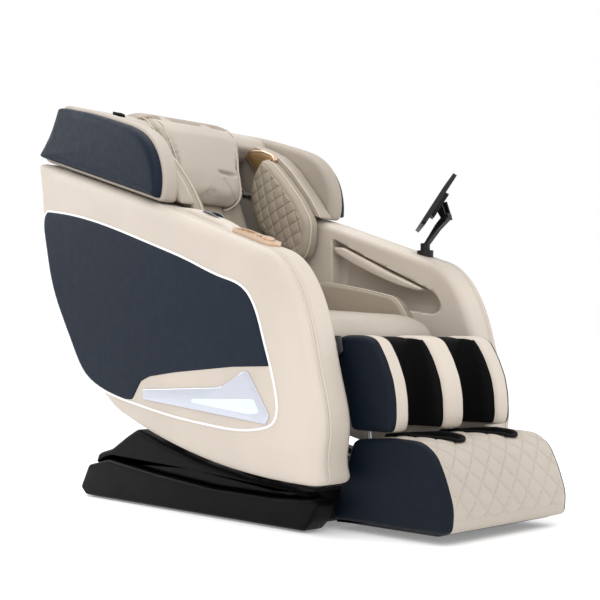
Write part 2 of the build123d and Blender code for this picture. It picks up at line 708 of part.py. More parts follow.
tablet_yaw = 45           # turned towards the sitter
tablet_lean = 33          # top edge leans away from the sitter
yaw = math.radians(tablet_yaw)
across = Vector(math.cos(yaw), math.sin(yaw), 0)
level = Vector(-math.sin(yaw), math.cos(yaw), 0)
facing = (level * math.cos(math.radians(tablet_lean)) + Vector(0, 0, 1) * math.sin(math.radians(tablet_lean)))
tablet_centre = Vector(tablet_x, -352, 864)
tablet_plane = Plane(origin=tablet_centre, x_dir=across, z_dir=facing)
with BuildPart() as tablet:
    with BuildSketch(tablet_plane) as face:
        RectangleRounded(232, 170, 14)
    extrude(face.sketch, amount=12)
    with BuildSketch(tablet_plane.offset(9)) as screen:
        RectangleRounded(208, 140, 4)
    extrude(screen.sketch, amount=4, mode=Mode.SUBTRACT)
    with BuildSketch(tablet_plane) as pad:
        RectangleRounded(80, 80, 12)
    extrude(pad.sketch, amount=-12)
    for side in (-1, 1):
        slab([(ball[0] - 10, ball[1] - 9), (ball[0] + 8, ball[1] - 9), (ball[0] + 40, ball[1] + 40),
              (ball[0] + 10, ball[1] + 46)], *sorted((tablet_x + side * 9.5, tablet_x + side * 14)))
    rod(ball, 5, tablet_x - 14, tablet_x + 14)
save(tablet, "tablet")

# ================= calf rest =================
def leg(dy, dz):
    """A point measured from the calf hinge."""
    return (calf_hinge[0] + dy, calf_hinge[1] + dz)


calf_top, calf_bottom = 8, -208     # heights of its straight rear face from the hinge


def calf_rear(dz, depth=0):
    """A point on the calf rest's rear face, or that deep inside it."""
    return leg(20 + 60 * (dz - calf_top) / (calf_top - calf_bottom) - depth, dz)


calf_front = [leg(-77, 24), leg(-104, 19), leg(-120, 10), leg(-147, -33), leg(-168, -83), leg(-177, -129),
              leg(-178, -178), leg(-170, calf_bottom)]
calf_outline = [calf_rear(calf_top), leg(6, 18), leg(-18, 25), *calf_front, calf_rear(calf_bottom)]
trough_back = calf_hinge[0] - 58
leg_dir = Vector(0, -60, calf_bottom - calf_top).normalized()
sleeve = 17
with BuildPart() as calf_cushion:
    slab(calf_outline, -leg_half, leg_half)
    rod(calf_hinge, sleeve + soft_gap, -leg_half - 1, leg_half + 1, mode=Mode.SUBTRACT)
    slab([calf_rear(4, 8), leg(60, 4), leg(60, -220), calf_rear(-220, 8)], -leg_half + 24, leg_half - 24,
         mode=Mode.SUBTRACT)
    with BuildSketch(Plane.XY.offset(calf_hinge[1] - 230)) as trough:
        for side in (-1, 1):
            with Locations((side * (divider_width + trough_width) / 2, trough_back - 110)):
                RectangleRounded(trough_width, 220, 46)
    extrude(trough.sketch, amount=280, mode=Mode.SUBTRACT)
save(calf_cushion, "calf_cushion")

with BuildPart() as calf_lining:
    with BuildSketch(Plane.XY.offset(calf_hinge[1] - 212)) as liner:
        for side in (-1, 1):
            with Locations((side * (divider_width + trough_width) / 2, trough_back - 110)):
                RectangleRounded(trough_width - 0.6, 219.4, 45.7)
                RectangleRounded(trough_width - 12, 208, 40, mode=Mode.SUBTRACT)
    extrude(liner.sketch, amount=260)
    slab([leg(-170, -230), leg(-300, -230), leg(-300, 60), leg(-77, 60), *calf_front], -leg_half, leg_half,
         mode=Mode.SUBTRACT)
    slab([leg(-20, 60), leg(-78, 60), leg(-78, 24), leg(-20, 24)], -leg_half, leg_half, mode=Mode.SUBTRACT)
save(calf_lining, "calf_lining")

plate_line = [calf_rear(-6, 8), calf_rear(-6, 2), calf_rear(-200, 2), calf_rear(-200, 8)]
slide_at = leg_half - 75
guide_plane = Plane(origin=(0, *calf_rear(-50, -11)), x_dir=(1, 0, 0), z_dir=leg_dir)
with BuildPart() as calf_frame:
    rod(calf_hinge, sleeve, -leg_half + 26, leg_half - 26)
    rod(calf_hinge, calf_shaft_size / 2, -leg_half, leg_half, mode=Mode.SUBTRACT)
    slab(plate_line, -leg_half + 26, leg_half - 26)
    for side in (-1, 1):
        with BuildSketch(guide_plane) as guide:
            with Locations((side * slide_at, 0)):
                Rectangle(30, 26)
        extrude(guide.sketch, amount=150)
        with BuildSketch(guide_plane.offset(-1)) as bore:
            with Locations((side * slide_at, 0)):
                Circle(8 + running_gap)
        extrude(bore.sketch, amount=152, mode=Mode.SUBTRACT)
save(calf_frame, "calf_frame")

with BuildPart() as calf_shaft:
    rod(calf_hinge, calf_shaft_size / 2, -plate_out - 3, plate_out + 3)
save(calf_shaft, "calf_shaft")

# ================= foot rest =================
sole_low, sole_high = 12, 46
foot_outline = [(-546, 226), (-674, 236), (-761, 232), (-803, 204), (-829, 150), (-850, 91), (-846, 50),
                (-836, sole_high), (-478, sole_high), (-484, 66)]
well_x = (divider_width + trough_width) / 2
well_wide = trough_width - 14
well_floor = 78
with BuildPart() as foot_shell:
    slab(foot_outline, -leg_half, leg_half)
    with BuildSketch(Plane.XY.offset(well_floor)) as well:
        for side in (-1, 1):
            with Locations((side * well_x, -632)):
                Ellipse(well_wide / 2, 74)
    extrude(well.sketch, amount=180, mode=Mode.SUBTRACT)
    for side in (-1, 1):
        block(sorted((side * (well_x - well_wide / 2), side * (well_x + well_wide / 2))), (-792, -632),
              (well_floor, 158), mode=Mode.SUBTRACT)
        block(sorted((side * (well_x - 42), side * (well_x + 42))), (-668, -612), (sole_high + 3, well_floor + 1),
              mode=Mode.SUBTRACT)
    rod((-640, 72), 7, -well_x - 60, well_x + 60, mode=Mode.SUBTRACT)
    for side in (-1, 1):
        with BuildSketch(guide_plane) as channel:
            with Locations((side * slide_at, 0)):
                Circle(8.2)
        extrude(channel.sketch, amount=300, mode=Mode.SUBTRACT)
save(foot_shell, "foot_shell")

with BuildPart() as foot_lining:
    with BuildSketch(Plane.XY.offset(well_floor)) as cup:
        for side in (-1, 1):
            with Locations((side * well_x, -632)):
                Ellipse(well_wide / 2 - 0.3, 73.7)
                Ellipse(well_wide / 2 - 4, 70, mode=Mode.SUBTRACT)
    extrude(cup.sketch, amount=142)
    slab([(-800, well_floor - 1), (-632, well_floor - 1), (-632, 158), (-800, 158)], -leg_half, leg_half,
         mode=Mode.SUBTRACT)
    with BuildSketch(Plane.XY.offset(well_floor)) as floor:
        for side in (-1, 1):
            with Locations((side * well_x, -632)):
                Ellipse(well_wide / 2 - 0.3, 73.7)
            with Locations((side * well_x, -711)):
                Rectangle(well_wide - 0.6, 158)
            with Locations((side * well_x, -640)):
                Rectangle(84, 56, mode=Mode.SUBTRACT)
    extrude(floor.sketch, amount=3)
save(foot_lining, "foot_lining")

with BuildPart() as foot_sole:
    slab([(-470, sole_low), (-800, sole_low), (-828, 24), (-836, sole_high - 0.5), (-478, sole_high - 0.5)],
         -leg_half + 4, leg_half - 4)
save(foot_sole, "foot_sole")

foot_reach = 205
with BuildPart() as foot_slides:
    for side in (-1, 1):
        with BuildSketch(guide_plane.offset(4)) as bar:
            with Locations((side * slide_at, 0)):
                Circle(8)
        extrude(bar.sketch, amount=foot_reach + 90)
save(foot_slides, "foot_slides")

with BuildPart() as foot_rollers:
    rod((-640, 72), 5, -well_x - 50, well_x + 50)
    for side in (-1, 1):
        for x in (well_x - 24, well_x, well_x + 24):
            rod((-640, 72), 20, *sorted((side * (x - 9), side * (x + 9))))
save(foot_rollers, "foot_rollers")
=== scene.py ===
import json
import math
import bpy
import numpy as np
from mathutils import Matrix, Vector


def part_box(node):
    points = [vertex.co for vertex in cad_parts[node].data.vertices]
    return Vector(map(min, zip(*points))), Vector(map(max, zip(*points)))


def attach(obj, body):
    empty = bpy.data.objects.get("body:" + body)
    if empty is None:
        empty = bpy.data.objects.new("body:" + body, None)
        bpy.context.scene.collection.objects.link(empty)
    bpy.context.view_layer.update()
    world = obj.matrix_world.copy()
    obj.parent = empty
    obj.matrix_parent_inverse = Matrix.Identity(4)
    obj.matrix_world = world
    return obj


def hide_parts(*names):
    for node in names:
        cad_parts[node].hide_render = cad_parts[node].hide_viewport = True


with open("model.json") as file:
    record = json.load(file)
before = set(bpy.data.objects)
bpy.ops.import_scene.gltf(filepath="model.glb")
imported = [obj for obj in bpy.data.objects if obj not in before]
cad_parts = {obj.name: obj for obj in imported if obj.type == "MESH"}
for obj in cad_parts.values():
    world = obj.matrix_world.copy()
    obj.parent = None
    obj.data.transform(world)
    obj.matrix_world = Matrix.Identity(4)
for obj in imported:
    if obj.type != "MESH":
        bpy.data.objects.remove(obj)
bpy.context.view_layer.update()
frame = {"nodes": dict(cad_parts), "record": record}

scene = bpy.context.scene
bothSides = ((1, "left"), (-1, "right"))


# Camera first
cameraSet = {
    "place": (-2.240, -2.463, 0.455),   # metres, in the chair's own frame
    "aim": (0.690, 0.7225, 0.0396),
    "lens": 68.1,                       # millimetres, and so is the sensor
    "sensor": 36,
    "far": 60,
}


def makeCamera():
    data = bpy.data.cameras.new("camera")
    data.lens = cameraSet["lens"]
    data.sensor_width, data.clip_end = cameraSet["sensor"], cameraSet["far"]
    camera = bpy.data.objects.new("camera", data)
    scene.collection.objects.link(camera)
    camera.location = cameraSet["place"]
    look = np.array(cameraSet["aim"])
    yaw = math.atan2(look[1], look[0]) - math.pi / 2
    pitch = math.atan2(look[2], math.hypot(look[0], look[1])) + math.pi / 2
    camera.rotation_euler = (pitch, 0, yaw)
    scene.camera = camera


makeCamera()
print("camera set")


# Outlines read from the frame
def cadLoops(node, station, tolerance=3e-5):
    # closed (y, z) outlines of the node's flat face at x = station, longest first:
    # edges that one triangle alone uses, chained head to tail
    mesh = frame["nodes"][node].data
    spots = np.empty(len(mesh.vertices) * 3)
    mesh.vertices.foreach_get("co", spots)
    spots = spots.reshape(-1, 3)
    mesh.calc_loop_triangles()
    corners = np.empty(len(mesh.loop_triangles) * 3, int)
    mesh.loop_triangles.foreach_get("vertices", corners)
    corners = corners.reshape(-1, 3)
    flat = corners[np.all(np.abs(spots[corners][:, :, 0] - station) < tolerance, axis=1)]
    keys, index = np.unique(np.round(spots[:, 1:] * 20000).astype(int), axis=0, return_inverse=True)
    index = index.ravel()
    pairs = index[flat][:, [[0, 1], [1, 2], [2, 0]]].reshape(-1, 2)
    used = set(map(tuple, pairs[pairs[:, 0] != pairs[:, 1]]))
    follow = {a: b for a, b in used if (b, a) not in used}
    loops = []
    while follow:
        start, here = follow.popitem()
        chain = [start]
        while here != start and here in follow:
            chain.append(here)
            here = follow.pop(here)
        loops.append(keys[chain] / 20000)
    length = [np.linalg.norm(np.diff(loop, axis=0, append=loop[:1]), axis=1).sum() for loop in loops]
    return [loops[k] for k in np.argsort(length)[::-1]]


def evenly(loop, count):
    # resample a closed outline at equal arc lengths, counter-clockwise
    loop = np.asarray(loop, float)
    area = np.sum(loop[:, 0] * np.roll(loop[:, 1], -1) - np.roll(loop[:, 0], -1) * loop[:, 1])
    if area < 0:
        loop = loop[::-1]
    closed = np.vstack([loop, loop[:1]])
    reach = np.r_[0, np.cumsum(np.linalg.norm(np.diff(closed, axis=0), axis=1))]
    at = np.linspace(0, reach[-1], count, endpoint=False)
    return np.c_[np.interp(at, reach, closed[:, 0]), np.interp(at, reach, closed[:, 1])]


def softOutline(loop, count, soften):
    # round an outline's corners: each harmonic k is scaled by exp(-(2 pi k soften / length)^2 / 2)
    ring = evenly(loop, count)
    length = np.linalg.norm(np.roll(ring, -1, 0) - ring, axis=1).sum()
    wave = np.fft.fftfreq(count, 1 / count)
    keep = np.exp(-0.5 * (2 * np.pi * wave * soften / length) ** 2)
    flow = np.fft.ifft(np.fft.fft(ring[:, 0] + 1j * ring[:, 1]) * keep)
    return evenly(np.c_[flow.real, flow.imag], count)


def outward(ring):
    # unit normals of a counter-clockwise outline: the tangent turned by -90 degrees
    along = np.roll(ring, -1, 0) - np.roll(ring, 1, 0)
    along /= np.linalg.norm(along, axis=1)[:, None] + 1e-12
    return np.c_[along[:, 1], -along[:, 0]]


def grown(ring, distance):
    return ring + outward(ring) * distance


# Mesh builders
def addPiece(name, points, faces, materials, body, replaces=(), marks=None):
    mesh = bpy.data.meshes.new(name)
    mesh.from_pydata(np.asarray(points).tolist(), [], faces if isinstance(faces, list) else faces.tolist())
    for material in materials:
        mesh.materials.append(material)
    if marks is not None:
        mesh.polygons.foreach_set("material_index", np.asarray(marks, dtype=np.int32))
    mesh.polygons.foreach_set("use_smooth", np.full(len(mesh.polygons), True))
    mesh.update()
    piece = bpy.data.objects.new(name, mesh)
    scene.collection.objects.link(piece)
    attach(piece, body)
    if replaces:
        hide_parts(*replaces)
    return piece


def gridFaces(rows, columns, closed=True):
    # quads between neighbouring rows; columns wrap round when closed
    across = np.arange(columns if closed else columns - 1)
    row, column = np.meshgrid(np.arange(rows - 1), across, indexing="ij")
    after = (column + 1) % columns
    return np.stack([row * columns + column, row * columns + after,
                     (row + 1) * columns + after, (row + 1) * columns + column], -1).reshape(-1, 4)


def edgeProfile(low, high, lowRound, highRound, steps=7, middle=1):
    # stations x and insets d from one end face to the other: a quarter circle of radius r at each end,
    # x = end -+ r (1 - sin a), d = r (1 - cos a)
    turn = np.linspace(0, np.pi / 2, steps)
    first = np.c_[low + lowRound * (1 - np.cos(turn)), lowRound * (1 - np.sin(turn))]
    last = np.c_[high - highRound * (1 - np.cos(turn[::-1])), highRound * (1 - np.sin(turn[::-1]))]
    between = np.linspace(low + lowRound, high - highRound, middle + 2)[1:-1]
    return np.vstack([first, np.c_[between, np.zeros(middle)], last])


def insetRoom(ring, deepest):
    # how much of the deepest inset each point can take: 0.7 of the local radius of the outline,
    # 1 / |turn per metre|, spread over the neighbours and smoothed
    step = np.linalg.norm(np.roll(ring, -1, 0) - ring, axis=1).mean()
    normal = outward(ring)
    turn = np.linalg.norm(np.roll(normal, -1, 0) - np.roll(normal, 1, 0), axis=1) / (2 * step)
    room = np.minimum(1, 0.7 / np.maximum(turn, 1e-6) / max(deepest, 1e-6))
    reach = max(2, int(1.5 * deepest / step))
    shifts = range(-reach, reach + 1)
    room = np.min([np.roll(room, k) for k in shifts], axis=0)
    return np.mean([np.roll(room, k) for k in shifts], axis=0)


def slabGrid(ring, profile, capSteps=(4, 24), crown=(0, 0)):
    # rings of the outline at each station; each end closes towards the outline's middle with
    # x = end +- crown (1 - t^2), t from 1 at the rim to 0 in the middle
    normal = outward(ring) * insetRoom(ring, profile[:, 1].max())[:, None]
    walls = ring[None] - normal[None] * profile[:, 1][:, None, None]
    spots = np.concatenate([np.broadcast_to(profile[:, 0][:, None, None], walls.shape[:2] + (1,)), walls], -1)
    lids = []
    for end, steps, lift, sign in ((0, capSteps[0], crown[0], -1), (-1, capSteps[1], crown[1], 1)):
        rim = spots[end]
        middle = rim[:, 1:].mean(0)
        share = np.linspace(1, 0, steps + 1)[1:-1]
        flat = middle + (rim[:, 1:] - middle)[None] * share[:, None, None]
        height = rim[0, 0] + sign * lift * (1 - share ** 2)
        lid = np.concatenate([np.broadcast_to(height[:, None, None], flat.shape[:2] + (1,)), flat], -1)
        lids.append((lid, np.array([rim[0, 0] + sign * lift, *middle])))
    grid = np.concatenate([lids[0][0][::-1], spots, lids[1][0]])
    part = np.r_[np.full(len(lids[0][0]), -1), np.zeros(len(spots)), np.full(len(lids[1][0]), 1)]
    return grid, part, lids[0][1], lids[1][1]


def gridNormals(grid):
    # cross product of the tangent round the ring and the step between rings
    around = np.roll(grid, -1, 1) - np.roll(grid, 1, 1)
    across = np.gradient(grid, axis=0)
    normal = np.cross(around, across)
    return normal / (np.linalg.norm(normal, axis=-1, keepdims=True) + 1e-12)


def slab(name, loop, low, high, side, materials, body, soften=0.006, count=240, rounds=(0.004, 0.02),
         middle=1, capSteps=(4, 24), crown=(0, 0), relief=None, warp=None, replaces=(), capMark=(0, 0),
         steps=7, inset=0, part=None, edgeMark=None):
    # a padded slab: the outline, smoothed by soften and resampled to count points, carried from station
    # low to high and rounded at both ends; side -1 mirrors it. relief gives each point's height along its
    # normal. capMark and edgeMark are the end faces' material indices and how many rows they take in
    ring = softOutline(loop, count, soften)
    if inset:
        ring = evenly(grown(ring, -inset), count)
    grid, kind, first, last = slabGrid(ring, edgeProfile(low, high, *rounds, steps, middle), capSteps, crown)
    if relief is not None:
        arc = np.r_[0, np.cumsum(np.linalg.norm(np.diff(ring, axis=0), axis=1))]
        rise = relief(grid, np.broadcast_to(arc, grid.shape[:2]), kind[:, None])
        grid = grid + gridNormals(grid) * rise[..., None]
    if warp is not None:
        grid = warp(grid)
        first, last = warp(first[None, None])[0, 0], warp(last[None, None])[0, 0]
    rows, columns = grid.shape[:2]
    points = np.vstack([grid.reshape(-1, 3), first, last])
    quads = gridFaces(rows, columns)
    step = np.arange(columns)
    fans = [np.c_[np.full(columns, rows * columns), (step + 1) % columns, step],
            np.c_[np.full(columns, rows * columns + 1), (rows - 1) * columns + step,
                  (rows - 1) * columns + (step + 1) % columns]]
    if edgeMark:
        depth = np.arange(len(kind)) - capSteps[0] + 1
        last = depth[-1] - capSteps[1] + 2 - edgeMark[1]
        kind = np.where(depth < edgeMark[0], -1, np.where(depth >= last, 1, kind))
    faceKind = np.repeat(np.where(kind[1:] == kind[:-1], kind[1:], kind[1:] + kind[:-1]), columns)
    marks = np.r_[faceKind, np.full(columns, -1), np.full(columns, 1)]
    marks = np.where(marks < 0, capMark[0], np.where(marks > 0, capMark[1], 0)).astype(int)
    faces = [*quads.tolist(), *fans[0].tolist(), *fans[1].tolist()]
    if side < 0:
        points = points * [-1, 1, 1]
        faces = [face[::-1] for face in faces]
    return addPiece(name, points, faces, materials, body, replaces=replaces, marks=marks)


def tube(name, path, radius, materials, body, closed=False, sides=10, replaces=(), part=None):
    # circle of the radius carried along a path; the ring's axes come from the tangent and an upright
    path = np.asarray(path, float)
    along = np.roll(path, -1, 0) - np.roll(path, 1, 0) if closed else np.gradient(path, axis=0)
    along /= np.linalg.norm(along, axis=1)[:, None]
    lead = np.array([1.0, 0, 0]) if np.abs(along[:, 0]).max() < 0.9 else np.array([0, 0.3, 1.0])
    second = np.cross(along, lead)
    second /= np.linalg.norm(second, axis=1)[:, None]
    third = np.cross(second, along)
    turn = np.linspace(0, 2 * np.pi, sides, endpoint=False)
    grid = path[:, None] + radius * (second[:, None] * np.cos(turn)[None, :, None]
                                     + third[:, None] * np.sin(turn)[None, :, None])
    rings = len(path)
    faces = (gridFaces(rings + closed, sides) % (rings * sides))[:, ::-1].tolist()
    if not closed:
        faces += [list(range(sides)), list(range((rings - 1) * sides, rings * sides))[::-1]]
    return addPiece(name, grid.reshape(-1, 3), faces, materials, body, replaces=replaces)


def pipe(name, side, station, ring, radius, materials=None, sides=8, **more):
    # a round cord that follows a closed outline at one station
    path = np.c_[np.full(len(ring), side * station), ring]
    tube(name, path, radius, materials or [cord], "body", closed=True, sides=sides, **more)


def stitchRow(name, path, normals, material, body, pitch=0.006, long=0.0042, wide=0.0011, proud=0.0006):
    # short threads along a path: each is a squashed octahedron pointing down the tangent
    path = np.asarray(path, float)
    reach = np.r_[0, np.cumsum(np.linalg.norm(np.diff(path, axis=0), axis=1))]
    at = np.arange(pitch, reach[-1] - pitch, pitch)
    spot = np.stack([np.interp(at, reach, path[:, k]) for k in range(3)], -1)
    ahead = np.stack([np.interp(at + 1e-3, reach, path[:, k]) for k in range(3)], -1) - spot
    ahead /= np.linalg.norm(ahead, axis=1)[:, None]
    up = np.stack([np.interp(at, reach, normals[:, k]) for k in range(3)], -1)
    up /= np.linalg.norm(up, axis=1)[:, None]
    aside = np.cross(ahead, up)
    spot = spot + up * proud
    ring = np.stack([spot - ahead * long / 2, spot + aside * wide / 2, spot + up * wide / 2,
                     spot - aside * wide / 2, spot - up * wide / 2, spot + ahead * long / 2], 1)
    shape = np.array([[0, 1, 2], [0, 2, 3], [0, 3, 4], [0, 4, 1], [5, 2, 1], [5, 3, 2], [5, 4, 3], [5, 1, 4]])
    faces = (shape[None] + 6 * np.arange(len(at))[:, None, None]).reshape(-1, 3)
    return addPiece(name, ring.reshape(-1, 3), faces, [material], body)


def quilt(a, b, pitch, depth, puff):
    # diamond channels: each cell swells as (|sin p| |sin q|)^0.45 of the two diagonal phases p and q, and
    # the grooves between them sink as exp(-(smaller sine / 0.10)^2)
    p = np.pi * (a + b) / pitch
    q = np.pi * (a - b) / pitch
    return puff * (np.abs(np.sin(p)) * np.abs(np.sin(q))) ** 0.45 - depth * np.exp(
        -(np.minimum(np.abs(np.sin(p)), np.abs(np.sin(q))) / 0.10) ** 2)


# Shader groups
def newGroup(name, inputs, outputs):
    tree = bpy.data.node_groups.new(name, "ShaderNodeTree")
    for label, kind, value in inputs:
        socket = tree.interface.new_socket(label, in_out="INPUT", socket_type=kind)
        socket.default_value = value
    for label, kind in outputs:
        tree.interface.new_socket(label, in_out="OUTPUT", socket_type=kind)
    return tree, tree.nodes.new("NodeGroupInput"), tree.nodes.new("NodeGroupOutput")


def wire(tree, kind, settings=None, **inputs):
    # one node; keyword names are its sockets, with spaces written as underscores, or i and a number
    node = tree.nodes.new("ShaderNode" + kind)
    for key, value in (settings or {}).items():
        setattr(node, key, value)
    for key, value in inputs.items():
        numbered = key[0] == "i" and key[1:].isdigit()
        socket = node.inputs[int(key[1:]) if numbered else key.replace("_", " ")]
        if isinstance(value, bpy.types.NodeSocket):
            tree.links.new(value, socket)
        else:
            socket.default_value = value
    return node


skinOutputs = [("Color", "NodeSocketColor"), ("Roughness", "NodeSocketFloat"), ("Normal", "NodeSocketVector")]


def buildSkin():
    # synthetic leather: pebble grain, soft creases, slow tone drift and rubbed high spots
    tree, source, sink = newGroup(
        "leatherSkin",
        [("Color", "NodeSocketColor", (0.7, 0.6, 0.5, 1)), ("Grain", "NodeSocketFloat", 620.0),
         ("Depth", "NodeSocketFloat", 0.35), ("Crease", "NodeSocketFloat", 0.25),
         ("Rough", "NodeSocketFloat", 0.45)],
        skinOutputs)
    spots = tree.nodes.new("ShaderNodeTexCoord").outputs["Object"]
    cells = wire(tree, "TexVoronoi", {"feature": "SMOOTH_F1"}, Vector=spots,
                 Scale=source.outputs["Grain"], Smoothness=0.6, Randomness=1.0)
    fine = wire(tree, "TexNoise", Vector=spots, Scale=1500.0, Detail=2.0)
    crease = wire(tree, "TexNoise", Vector=spots, Scale=16.0, Detail=4.0, Roughness=0.55, Distortion=0.5)
    drift = wire(tree, "TexNoise", Vector=spots, Scale=3.2, Detail=3.0)
    rub = wire(tree, "TexNoise", Vector=spots, Scale=45.0, Detail=5.0)
    grain = wire(tree, "Math", {"operation": "MULTIPLY_ADD"}, i0=fine.outputs["Fac"], i1=0.35,
                 i2=cells.outputs["Distance"])
    pebble = wire(tree, "Bump", Strength=source.outputs["Depth"], Distance=0.0006,
                  Height=grain.outputs[0])
    folded = wire(tree, "Bump", Strength=source.outputs["Crease"], Distance=0.006,
                  Height=crease.outputs["Fac"], Normal=pebble.outputs["Normal"])
    tone = wire(tree, "MapRange", Value=drift.outputs["Fac"], From_Min=0.3, From_Max=0.7, To_Min=0.93,
                To_Max=1.05)
    pore = wire(tree, "MapRange", Value=cells.outputs["Distance"], From_Min=0.0, From_Max=0.7,
                To_Min=1.02, To_Max=0.93)
    both = wire(tree, "Math", {"operation": "MULTIPLY"}, i0=tone.outputs[0], i1=pore.outputs[0])
    shade = wire(tree, "VectorMath", {"operation": "SCALE"}, i0=source.outputs["Color"])
    tree.links.new(both.outputs[0], shade.inputs["Scale"])
    gloss = wire(tree, "MapRange", Value=rub.outputs["Fac"], From_Min=0.3, From_Max=0.7, To_Min=-0.05,
                 To_Max=0.06)
    rough = wire(tree, "Math", {"operation": "ADD", "use_clamp": True}, i0=gloss.outputs[0],
                 i1=source.outputs["Rough"])
    tree.links.new(shade.outputs[0], sink.inputs["Color"])
    tree.links.new(rough.outputs[0], sink.inputs["Roughness"])
    tree.links.new(folded.outputs["Normal"], sink.inputs["Normal"])
    return tree


def buildMould():
    # moulded or painted surface: fine spark texture, faint scuffs and dust in the roughness
    tree, source, sink = newGroup(
        "mouldedSkin",
        [("Color", "NodeSocketColor", (0.02, 0.02, 0.02, 1)), ("Grain", "NodeSocketFloat", 900.0),
         ("Depth", "NodeSocketFloat", 0.15), ("Rough", "NodeSocketFloat", 0.3), ("Dust", "NodeSocketFloat", 0.1)],
        skinOutputs)
    spots = tree.nodes.new("ShaderNodeTexCoord").outputs["Object"]
    fine = wire(tree, "TexNoise", Vector=spots, Scale=source.outputs["Grain"], Detail=2.0)
    scuff = wire(tree, "TexNoise", Vector=spots, Scale=22.0, Detail=6.0, Roughness=0.65)
    haze = wire(tree, "TexNoise", Vector=spots, Scale=4.0, Detail=3.0)
    bump = wire(tree, "Bump", Strength=source.outputs["Depth"], Distance=0.0004,
                Height=fine.outputs["Fac"])
    wear = wire(tree, "MapRange", Value=scuff.outputs["Fac"], From_Min=0.45, From_Max=0.75, To_Min=0.0,
                To_Max=0.14)
    rough = wire(tree, "Math", {"operation": "ADD", "use_clamp": True}, i0=wear.outputs[0],
                 i1=source.outputs["Rough"])
    cloud = wire(tree, "MapRange", Value=haze.outputs["Fac"], From_Min=0.4, From_Max=0.75, To_Min=0.0,
                 To_Max=1.0)
    film = wire(tree, "Math", {"operation": "MULTIPLY"}, i0=cloud.outputs[0], i1=source.outputs["Dust"])
    mix = wire(tree, "Mix", {"data_type": "RGBA"}, i0=film.outputs[0], i6=source.outputs["Color"],
               i7=(0.42, 0.40, 0.37, 1))
    tree.links.new(mix.outputs[2], sink.inputs["Color"])
    tree.links.new(rough.outputs[0], sink.inputs["Roughness"])
    tree.links.new(bump.outputs["Normal"], sink.inputs["Normal"])
    return tree


def buildWeave():
    # close-woven lining: two crossed sine ribs, plus lint
    tree, source, sink = newGroup("wovenLining", [
        ("Color", "NodeSocketColor", (0.01, 0.01, 0.01, 1)), ("Threads", "NodeSocketFloat", 900.0),
        ("Depth", "NodeSocketFloat", 0.5)],
        skinOutputs)
    spots = tree.nodes.new("ShaderNodeTexCoord").outputs["Object"]
    warp = wire(tree, "TexWave", {"bands_direction": "X"}, Vector=spots, Scale=source.outputs["Threads"],
                Distortion=0.4)
    weft = wire(tree, "TexWave", {"bands_direction": "Z"}, Vector=spots, Scale=source.outputs["Threads"],
                Distortion=0.4)
    lint = wire(tree, "TexNoise", Vector=spots, Scale=260.0, Detail=4.0)
    cross = wire(tree, "Math", {"operation": "MULTIPLY"}, i0=warp.outputs["Fac"], i1=weft.outputs["Fac"])
    bump = wire(tree, "Bump", Strength=source.outputs["Depth"], Distance=0.0005, Height=cross.outputs[0])
    tone = wire(tree, "MapRange", Value=lint.outputs["Fac"], From_Min=0.35, From_Max=0.75, To_Min=0.8,
                To_Max=1.9)
    shade = wire(tree, "VectorMath", {"operation": "SCALE"}, i0=source.outputs["Color"])
    tree.links.new(tone.outputs[0], shade.inputs["Scale"])
    rough = wire(tree, "MapRange", Value=lint.outputs["Fac"], From_Min=0.3, From_Max=0.7, To_Min=0.75,
                 To_Max=0.95)
    tree.links.new(shade.outputs[0], sink.inputs["Color"])
    tree.links.new(rough.outputs[0], sink.inputs["Roughness"])
    tree.links.new(bump.outputs["Normal"], sink.inputs["Normal"])
    return tree


skinGroup, mouldGroup, weaveGroup = buildSkin(), buildMould(), buildWeave()


def finish(name, group, values, shader=None):
    # a material: the group's colour, roughness and normal into a Principled shader with its own settings
    material = bpy.data.materials.new(name)
    material.use_nodes = True
    tree = material.node_tree
    principled = tree.nodes["Principled BSDF"]
    effect = tree.nodes.new("ShaderNodeGroup")
    effect.node_tree = group
    for key, value in values.items():
        effect.inputs[key].default_value = (*value, 1) if isinstance(value, tuple) else value
    for here, there in (("Color", "Base Color"), ("Roughness", "Roughness"), ("Normal", "Normal")):
        tree.links.new(effect.outputs[here], principled.inputs[there])
    for key, value in (shader or {}).items():
        principled.inputs[key].default_value = value
    return material


leather = {"Specular IOR Level": 0.32, "Sheen Weight": 0.04, "Sheen Roughness": 0.5}
dimLeather = {"Specular IOR Level": 0.13}
beige = finish("beigeLeather", skinGroup, {"Color": (0.56, 0.495, 0.425), "Rough": 0.46}, leather)
# a darker copy of the beige leather on the seat, pillow, hood roll, pillow straps, near wing rim and foot rest:
# painted shade
inner = finish("shadedBeigeLeather", skinGroup, {"Color": (0.43, 0.378, 0.322), "Rough": 0.48}, leather)
# a still darker copy of the beige leather on the far wing rim and the shoulder bolsters: painted shade
shade = finish("shadeLeather", skinGroup, {"Color": (0.36, 0.312, 0.258), "Rough": 0.5}, leather)
taupe = finish("taupeLeather", skinGroup, {"Color": (0.335, 0.285, 0.225), "Rough": 0.5, "Crease": 0.35},
               leather)
navy = finish("navyLeather", skinGroup, {"Color": (0.0072, 0.0128, 0.0250), "Rough": 0.5, "Crease": 0.12},
              dimLeather)
# a darker copy of the navy leather on the leg rest and foot rest sides: painted shade
shadedNavy = finish("shadedNavyLeather", skinGroup,
                  {"Color": (0.0035, 0.0070, 0.0145), "Rough": 0.5, "Crease": 0.12}, dimLeather)
lining = finish("blackLining", weaveGroup, {"Color": (0.0018, 0.0018, 0.0022)},
                {"Specular IOR Level": 0.15})
gloss = finish("glossBlack", mouldGroup, {"Color": (0.0015, 0.0015, 0.002), "Rough": 0.36, "Dust": 0.002},
               {"Specular IOR Level": 0.07})
plastic = finish("mattePlastic", mouldGroup,
                 {"Color": (0.006, 0.006, 0.007), "Rough": 0.5, "Dust": 0.01, "Depth": 0.4},
                 {"Specular IOR Level": 0.3})
rubber = finish("blackRubber", mouldGroup,
                {"Color": (0.006, 0.006, 0.006), "Rough": 0.72, "Dust": 0.03, "Depth": 0.5})
steel = finish("frameSteel", mouldGroup, {"Color": (0.05, 0.05, 0.055), "Rough": 0.42, "Dust": 0.08})
